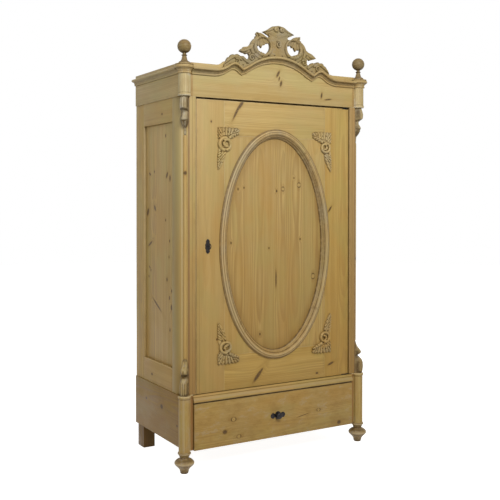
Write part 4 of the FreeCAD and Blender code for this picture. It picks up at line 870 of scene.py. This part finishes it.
# ---- Carved consoles. Distances from their end, depths and widths are in millimetres.
def console(z_end, toward, depth, width, reeds, scallops, shade_and_tint_spans):
    """A carved console with a curled edge.

    depth and width are (distance, value), the width being half of it; reeds are (start, end, count, depth),
    scallops (distance, reach, depth) and shade_and_tint_spans (start, end, amount): painted shade under the lobes
    and at the ends, and the bud's darker colour.
    """
    stations = np.linspace(0, max(v for v, _ in depth), 110)
    kernel = np.array([1, 2, 3, 2, 1]) / 9
    d, w = (np.convolve(np.pad(np.interp(stations, *zip(*values)), 2, mode="edge"), kernel, "valid")
            for values in (depth, width))
    rows, grime_and_shade, shine = [], [], []
    for v, out, half in zip(stations, d, w):
        row, shading_and_grime, bright = [(-half / 1000, -0.001)], [0.5], [0.0]
        span_shade_and_tint = max(amount * min(1.0, max(0.0, min(v - start, end - v)) / 5) for start, end, amount in shade_and_tint_spans)
        for u in np.linspace(-1, 1, 45):
            height = out * (0.42 + 0.58 * max(0.0, 1 - abs(u) ** 3.2) ** 0.55)
            cut = 0.0
            for start, end, count, deep in reeds:
                fade = np.clip(min(v - start, end - v) / 8, 0, 1)
                cut = max(cut, deep * fade * abs(math.cos(math.pi * count * (u + 1) / 2)) ** 5)
            for at, reach, deep in scallops:
                cut = max(cut, deep * hump(v, at + 7 * (u * u - 0.5) * np.sign(reach), abs(reach)))
            row.append((u * half / 1000, max(height - cut, 0.6) / 1000))
            # bright is a painted highlight down the middle; shade is painted shade on the left of the middle lobe, and
            # the flanks and reed bottoms get painted shade as well
            bright.append(0.5 * max(0.0, 1 - 1.6 * cut - 1.2 * abs(u)) * min(1.0, out / 30))
            shade = 0.85 * max(0.0, min(1.0, 0.15 - 1.7 * u)) * hump(v, 84, 22, 4)
            shading_and_grime.append(min(1.0, cut * 0.24 + max(span_shade_and_tint, shade) + 1.1 * max(0.0, abs(u) - 0.58)))
        row.append((half / 1000, -0.001))
        rows.append([on_cant(s, o, z_end + toward * v / 1000) for s, o in row])
        grime_and_shade += shading_and_grime + [0.5]
        shine += bright + [0.0]
    return *skin(rows), grime_and_shade, shine


UPPER = dict(
    z_end=1.73, toward=-1,
    depth=[(0, 29), (12, 34), (33, 39.5), (52, 38), (61, 34), (66, 22), (73, 15), (84, 17), (100, 27), (108, 27),
           (120, 23), (136, 15), (147, 6), (150, 4), (172, 2.5), (178, 1)],
    width=[(0, 15.5), (10, 17.5), (40, 18.8), (62, 18.5), (70, 16.5), (84, 17.5), (105, 18), (118, 17.5),
           (130, 14.5), (140, 10), (147, 5), (151, 5), (166, 7.0), (174, 6), (178, 3)],
    reeds=[(3, 58, 3, 2.4), (76, 106, 1, 1.2), (112, 146, 2, 1.6)],
    scallops=[(64, 3.4, 6.0), (110, -2.4, 4.0), (160, 1.8, 1.5)],
    shade_and_tint_spans=[(54, 72, 0.45), (106, 149, 0.72), (172, 180, 0.8)],
)
LOWER = dict(
    z_end=0.356, toward=1,
    depth=[(0, 36), (10, 39), (36, 42), (56, 40), (70, 35), (80, 24), (88, 17), (94, 19), (102, 30), (108, 32),
           (118, 27), (136, 11), (150, 6), (160, 3), (164, 1)],
    width=[(0, 17.5), (30, 18.8), (58, 18.5), (72, 17.0), (84, 17.0), (104, 18), (120, 17), (138, 15), (152, 13.5),
           (160, 11.5), (164, 9)],
    reeds=[(2, 64, 4, 2.6), (94, 118, 2, 2.8), (122, 156, 2, 1.6)],
    scallops=[(91, 5.0, 6.5), (156, 2.0, 1.8)],
    shade_and_tint_spans=[(-6, 13, 0.85), (76, 100, 0.7), (154, 166, 0.85)],
)
carved_pine = pine("carved_pine", "Z", 30.0, wild=0.1, grey=0.5, tone=(0.85, 0.905, 1.02), figure=0.6,
                   blotch=(0.5, 45.0))
for node, shape in (("upper_consoles", UPPER), ("lower_consoles", LOWER)):
    make(f"{node}_carved", on_both_sides(console(**shape)), carved_pine, node)

# ---- Carved leaves round the oval
def spandrel(ring, middle):
    """Upper left leaf, in (across, down): a volute of this radius about a middle, a spray and a tail."""
    c = Carving((-0.004, -0.209), (0.126, 0.004), 0.00125, face=0.0062, groove=0.0024, up=-1)

    def stroke(points, radii, high, vein=0.0, low=5.0, **settings):
        c.stroke(points, radii, low, high, vein, **settings)

    # leaves of the spray, and those down the outer edge
    c.plate([
        (1, 4), (7, 1), (17, 4), (26, 0), (35, 4), (45, 0), (54, 4), (64, 0), (73, 4), (82, 1), (91, 4), (100, 2),
        (108, 5), (116, 9), (119, 16), (113, 21), (109, 26), (70, 52), (40, 56), (14, 64), (2, 52), (3, 44), (0, 36),
        (3, 29), (0, 20), (3, 13),
    ])
    for start, tip, r in (
        ((26, 40), (7, 7), 6.5), ((34, 36), (26, 5), 7), ((46, 35), (45, 5), 6.5), ((58, 33), (63, 5), 7),
        ((72, 31), (81, 6), 6.5), ((86, 28), (98, 7), 6), ((98, 25), (113, 11), 5.5), ((22, 48), (4, 22), 6),
        ((18, 58), (4, 40), 6),
    ):
        stroke([start, tip], [r, r * 0.55], 9.5, 1.2, outline=False)
    stroke([(60, 52), (80, 39), (100, 31), (113, 29)], [7, 7, 5.5, 3.5], 12.5)
    for x, z, r in ((80, 46, 5), (93, 39, 5.5), (105, 33, 4.5)):
        stroke([(x, z), (x - 3, z - 3)], [r, r], 10.0)
    # tail
    stroke([(24, 110), (22, 136), (14, 166), (6, 194)], [20, 19, 12, 5.5], 8.0, groove=False)
    for start, tip in (((17, 118), (6, 127)), ((14, 131), (4.5, 138)), ((12, 143), (5, 152)), ((10, 156), (4, 163)),
                       ((8, 167), (4.5, 176)), ((7, 180), (4, 186))):
        stroke([start, tip], [4.0, 5.2], 10.0, 0.5)
    for start, tip in (((13, 148), (39, 121)), ((12, 165), (36, 137)), ((9, 180), (28, 156)), ((7, 193), (20, 172))):
        stroke([start, tip], [3.2, 5.6], 11.0, 1.2)
    # volute, turning in on a small dark eye
    spiral, sizes = [], []
    for t in np.linspace(0, 1, 44):
        angle, shift = math.radians(70 + 555 * t), min(1.0, max(0.0, (t - 0.3) / 0.7))
        reach = 0.765 * ring - 0.465 * ring * max(0.0, t - 0.45) / 0.55
        spiral.append((middle + 0.35 * ring * shift + reach * math.cos(angle), 80 - reach * math.sin(angle)))
        sizes.append(0.235 * ring - 1.4 * t)
    stroke(spiral, sizes, 13.5, low=4.0)
    c.pits((
        (middle - 0.26 * ring, 80 - 0.36 * ring, 4.4), (middle + 0.42 * ring, 80 - 0.86 * ring, 4.2),
        (middle + 0.35 * ring, 81, 3.2), (middle - 0.55 * ring, 80 + 0.98 * ring, 4.4), (98, 44, 2.6), (86, 50, 2.6),
        (17, 5, 2.8), (35, 5, 2.8), (54, 5, 2.4), (73, 5, 2.8), (91, 6, 2.6), (106, 6, 2.4), (13, 29, 3.2),
        (33, 22, 2.6), (55, 24, 2.8), (88, 19, 2.6), (9, 55, 3.0), (40, 112, 3.4),
    ), 0.008)
    return c.solid(0.0, 0.0022)


LEAF_CORNER = (-0.328, 0.5595)      # its outer corner, from the middle of the oval
LEAF_SINK = 0.0002                  # how far its back is let into the door
leaves = []
for sx, sz, ring, middle in ((1, 1, 37, 38), (-1, 1, 30, 36), (1, -1, 33, 41), (-1, -1, 31, 38)):
    points, faces, *values = spandrel(ring, middle)
    x, z = sx * (LEAF_CORNER[0] + points[:, 0]), OVAL[2] + sz * (LEAF_CORNER[1] + points[:, 2])
    placed = np.stack([x, DOOR + LEAF_SINK + points[:, 1], z], axis=1)
    leaves.append((placed, [f[::-1] if sx * sz < 0 else f for f in faces], *values))
leaf_pine = pine("leaf_pine", "Z", 31.0, wild=0.05, grey=0.6, tone=(0.98, 0.99, 1.0), figure=0.4, depth=DOOR)
make("door_carvings_carved", joined(*leaves), leaf_pine, "door_carvings")

# ---- Crest
def crest():
    """Right half of the pierced crest: a crown with a boss, a ringed hole with a leaf in it, and scrolls."""
    c = Carving((-0.002, 1.84), (0.308, 2.1005), 0.0015, face=0.0125)
    c.plate([
        (-4, 2099.6), (6, 2099.0), (16, 2096), (34, 2093.5), (47, 2085), (60, 2076), (76, 2068), (90.5, 2062.5),
        (80, 2059), (69, 2053), (58, 2049), (51, 2043), (56, 2037), (68, 2036), (80, 2042), (92, 2051), (106, 2056),
        (113, 2052), (121, 2058), (128, 2049), (123, 2040), (132, 2036), (130, 2029), (142, 2021), (152, 2009),
        (160, 1994), (170, 1985), (186, 1981), (196, 1980), (202, 1972), (209, 1969), (219, 1958.5), (206, 1953),
        (192, 1950), (183, 1946), (178, 1951), (170, 1949), (164, 1940), (166, 1930), (173, 1921), (182, 1924),
        (190, 1932), (200, 1937), (212, 1934), (221, 1940), (232, 1943), (240, 1941), (245, 1935), (252, 1940),
        (262, 1938), (269, 1931), (272, 1924), (280, 1924), (287, 1915), (292, 1903), (299, 1892), (306, 1862),
        (-4, 1850),
    ])

    def stroke(points, radii, high, vein=0.0, low=11.0, outline=False, **settings):
        c.stroke(points, radii, low, high, vein, outline, **settings)

    def curled(x, z, reach, closing, start, sweep, radius, thinning):
        share = np.linspace(0, 1, 22)
        away, angle = reach - closing * share, start + sweep * share
        points = np.stack([x + away * np.cos(angle), z + away * np.sin(angle)], axis=1)
        stroke(points, radius - thinning * share, 18.5)

    # crown
    stroke([(0, 2062), (30, 2066), (60, 2066), (89, 2062.5)], [26, 20, 11, 1.5], 17, groove=False)
    stroke([(4, 2094), (26, 2088), (52, 2074), (84, 2063)], [5, 7, 6, 1.5], 20)
    stroke([(16, 2080), (16.2, 2080.2)], [14, 14], 26, low=19)
    c.pits([(16, 2080, 3.5)], 0.0022)
    # hole, its ring and the leaves that reach into it
    turn = np.linspace(0, math.tau, 33)
    stroke([(87 + 45 * math.cos(a), 1993 + 45 * math.sin(a)) for a in turn],
           [8.5 + 2.5 * math.sin(a + 2.5) for a in turn], 20.5)
    c.field = np.maximum(c.field, 0.0375 - np.hypot(c.x - 0.087, c.z - 1.993))
    c.plate([
        (54, 2012), (63, 2006.5), (72, 2010), (79, 1999), (88, 2001), (98.5, 1983), (107, 1996), (116, 1990),
        (124, 2004), (128, 2020), (88, 2038), (56, 2028),
    ])
    stroke([(86, 2024), (76, 2016), (64, 2008)], [8, 7, 1.5], 12, 1.2, low=9)
    stroke([(98, 2024), (96, 2006), (98, 1985)], [9, 10, 1.5], 13.5, 1.6, low=9)
    stroke([(112, 2018), (114, 2004), (116, 1992)], [7, 6, 1], 12, 1.0, low=9)
    for x, z, r in ((120, 1968, 6), (108.5, 1962.5, 6.5), (96.5, 1959.5, 6), (85, 1957, 5)):
        stroke([(x, z), (x + 2, z - 8)], [r, r], 14, 1.0, low=9, outline=True)
    # leaves on the shoulder
    stroke([(74, 2040), (98, 2044), (123, 2055)], [5, 10, 2], 20, 2.0)
    stroke([(122, 2030), (140, 2016), (150, 1998), (154, 1978), (146, 1954)], [7, 9, 10, 9, 6], 20, 1.6)
    stroke([(150, 1992), (172, 1976), (196, 1966), (218, 1958.5)], [8, 13, 11, 1.5], 20, 2.4)
    stroke([(166, 1962), (178, 1955), (192, 1952)], [6, 5, 2], 17)
    # scroll under the hole
    stroke([(58, 1944), (84, 1938), (108, 1938), (128, 1950)], [4, 7, 8, 8], 16, 1.0)
    curled(150, 1932, 15, 11, 2.4, -7.0, 5.5, 2)
    # outer scroll along the moulding
    stroke([(172, 1908), (188, 1920), (204, 1929), (222, 1932)], [6, 8, 7, 4], 18.5, 1.4)
    stroke([(208, 1918), (228, 1928), (250, 1930), (268, 1920), (288, 1904), (304, 1890)], [5, 9, 9, 8, 6, 2], 19, 1.6)
    curled(232, 1908, 13, 9, 1.2, 6.6, 4.8, 1.8)
    c.height += 0.0022 * np.clip(1 - c.x / 0.05, 0, 1) * hump(c.z, 2.003, 0.026)
    c.pits((
        (22, 1953, 3.6), (60, 1950, 3.2), (96, 1940, 3.0), (135, 1931, 4.2), (112, 1924, 3.0), (198, 1893, 3.4),
        (222, 1893, 2.6), (252, 1899, 3.0), (178, 1904, 2.6), (270, 1893, 2.4), (58, 2052, 2.4),
    ), 0.004)
    # foot on the moulding, darkened with grime and painted shade where it meets it, and the seam with the other half
    line = np.array(trace(PEDIMENT, 1.0))
    floor = np.interp(c.x, line[:, 0], line[:, 1]) + LINE + 0.0295
    c.field = np.maximum(c.field, floor - c.z)
    c.grime_and_shade = np.maximum(c.grime_and_shade, np.clip(1 - (c.z - floor) / 0.006, 0, 1) * 0.8)
    seam = c.x < 0
    c.field = np.maximum(c.field, -(c.x + 0.0015))
    c.field[seam] = np.maximum(c.field[seam], -0.0015)
    return c.solid(FRONT, 0.009)


def curl():
    """The oval boss in the middle of the crest, curled in on itself."""
    c = Carving((-0.028, 1.982), (0.022, 2.036), 0.001)
    share = np.linspace(0, 1, 30)
    angle = 2.0 - 9.2 * share
    path = np.stack([-3 + (13 - 9 * share) * np.cos(angle), 2008 + (17 - 12 * share) * np.sin(angle)], axis=1)
    c.stroke(path, 4.6 - 1.6 * share, 6, 13.5)
    return c.solid(FRONT - 0.0095, 0.002)


crest_pine = pine("crest_pine", "X", 33.0, wild=0.05, grey=0.4, tone=(0.67, 0.69, 0.71), blotch=(0.3, 45.0), figure=0.7,
                  depth=FRONT)
make("crest_carved", joined(on_both_sides(crest()), curl()), crest_pine, "crest")

# ---- Iron
def shaped_plate(widths, half_length, middle, face, thick, upright):
    """A thin plate with a domed face; widths are (share of its half length, half width in millimetres)."""
    rows = []
    for t in np.linspace(-1, 1, 61):
        half = max(np.interp(abs(t), *zip(*widths)) / 1000, 0.0002)
        row = []
        for angle in np.linspace(0, math.pi, 13):
            a, b = t * half_length, math.cos(angle) * half
            x, z = (b, a) if upright else (a, b)
            out = thick * (0.35 + 0.65 * math.sin(angle) ** 0.5) if 0 < angle < math.pi else 0.0
            row.append((middle[0] + x, face - out, middle[1] + z))
        rows.append(row)
    return skin(rows)


black_iron = iron()
knob = [(0, 0)] + trace([
    (9.5, 0, 0), (9.5, 1.5, 0.3), (7.4, 3.5, -0.1), (7.2, 6.0, -0.2), (9.4, 8.2, 0), (13.2, 9.2, 0.25),
    (15.9, 12.6, 0.22), (12.6, 17.6, 0.12), (5.5, 20.5, 0.05), (0, 21, 0),
], 0.8)
knob = turned(knob, (KNOB[0], DRAWER - KNOB_PLATE, KNOB[1]), axis="-Y", segments=56)
make("drawer_knob_turned", knob[:2], black_iron, "drawer_knob")
make("knob_plate_shaped", shaped_plate([
    (0, 20), (0.16, 19), (0.28, 14.5), (0.37, 8.8), (0.43, 8.2), (0.52, 11), (0.62, 13), (0.72, 13.4), (0.82, 12),
    (0.92, 8), (1, 0.3),
], 0.0415, KNOB, DRAWER, KNOB_PLATE, False), black_iron, "drawer_knob_plate")
make("escutcheon_shaped", shaped_plate([
    (0, 13), (0.2, 13.8), (0.34, 12), (0.45, 9.5), (0.55, 9.6), (0.68, 10.4), (0.8, 8.4), (0.9, 5), (1, 0.3),
], 0.035, LOCK, DOOR, 0.0025, True), black_iron, "escutcheon")
paint(black_iron, "door_key", "lock_case", "lock_bolt", "lock_strike", "pivot_hinges")

# ---- Studio
def seen_directly(s):
    """1 for rays that show the background itself, and 0 for those that light the cabinet."""
    path = s.add("ShaderNodeLightPath").outputs
    rays = s.math("MAXIMUM", path["Is Camera Ray"], path["Is Glossy Ray"])
    return s.math("MAXIMUM", rays, path["Is Transmission Ray"])


def floor(radius):
    """Pale floor that keeps the cabinet's shadow."""
    material, s = new_material("floor")
    glow = s.add("ShaderNodeEmission", {"Color": (*WHITE, 1), "Strength": s.mul(seen_directly(s), 0.93)})
    chalk = s.add("ShaderNodeBsdfDiffuse", {"Color": (0.62, 0.62, 0.62, 1)})
    both = s.add("ShaderNodeAddShader", {0: glow.outputs[0], 1: chalk.outputs[0]})
    s.add("ShaderNodeOutputMaterial", {0: both.outputs[0]})
    mesh = bpy.data.meshes.new("floor")
    rim = [(radius * math.cos(a), radius * math.sin(a), 0.0) for a in np.arange(48) * math.tau / 48]
    mesh.from_pydata(rim, [], [tuple(range(48))])
    mesh.materials.append(material)
    item = bpy.data.objects.new("floor", mesh)
    SCENE.collection.objects.link(item)


def world():
    """Soft light from all round, in front of a white background."""
    SCENE.world = bpy.data.worlds.new("studio")
    SCENE.world.use_nodes = True
    s = Nodes(SCENE.world.node_tree)
    ambient = s.add("ShaderNodeBackground", {0: (0.98, 0.99, 1.0, 1), 1: 0.22})
    white = s.add("ShaderNodeBackground", {0: (*WHITE, 1), 1: 1.0})
    mix = s.add("ShaderNodeMixShader", {0: seen_directly(s), 1: ambient.outputs[0], 2: white.outputs[0]})
    s.add("ShaderNodeOutputWorld", {0: mix.outputs[0]})


def lamp(name, place, aim, size, power, colour):
    data = bpy.data.lights.new(name, "AREA")
    data.shape, data.size, data.size_y, data.energy, data.color = "RECTANGLE", *size, power, colour
    item = bpy.data.objects.new(name, data)
    turn = (Vector(aim) - Vector(place)).to_track_quat("-Z", "Y")
    item.matrix_world = Matrix.Translation(place) @ turn.to_matrix().to_4x4()
    SCENE.collection.objects.link(item)


SENSOR = 36     # millimetres


def camera(place, heading, pitch, roll, lens, shift_y):
    """The photograph's own viewpoint, with its angles in degrees."""
    heading, pitch, roll = (math.radians(a) for a in (heading, pitch, roll))
    forward = Vector((math.sin(heading) * math.cos(pitch), math.cos(heading) * math.cos(pitch), -math.sin(pitch)))
    right = Vector((math.cos(heading), -math.sin(heading), 0))
    up = right.cross(forward)
    right, up = right * math.cos(roll) + up * math.sin(roll), up * math.cos(roll) - right * math.sin(roll)
    data = bpy.data.cameras.new("camera")
    data.lens, data.sensor_width, data.sensor_fit, data.shift_y = lens, SENSOR, "HORIZONTAL", shift_y
    data.clip_end = 50
    item = bpy.data.objects.new("camera", data)
    item.matrix_world = Matrix.Translation(place) @ Matrix((right, up, -forward)).transposed().to_4x4()
    SCENE.collection.objects.link(item)
    SCENE.camera = item


floor(radius=12)
world()
camera((-2.1569, -3.6241, 1.2634), heading=30.628, pitch=0.667, roll=0.05, lens=59.16, shift_y=-0.0848)
lamp("key", (-0.5, -3.3, 3.4), (-0.1, -0.2, 1.45), (2.0, 1.6), 117, (1.0, 0.98, 0.95))
lamp("fill", (-4.2, -0.4, 3.0), (-0.5, 0.0, 1.3), (2.0, 2.0), 43, (0.96, 0.985, 1.0))
lamp("back", (2.8, 3.2, 2.8), (0.2, 0.2, 1.2), (2.2, 2.2), 60, WHITE)
SCENE.view_settings.view_transform = "Standard"
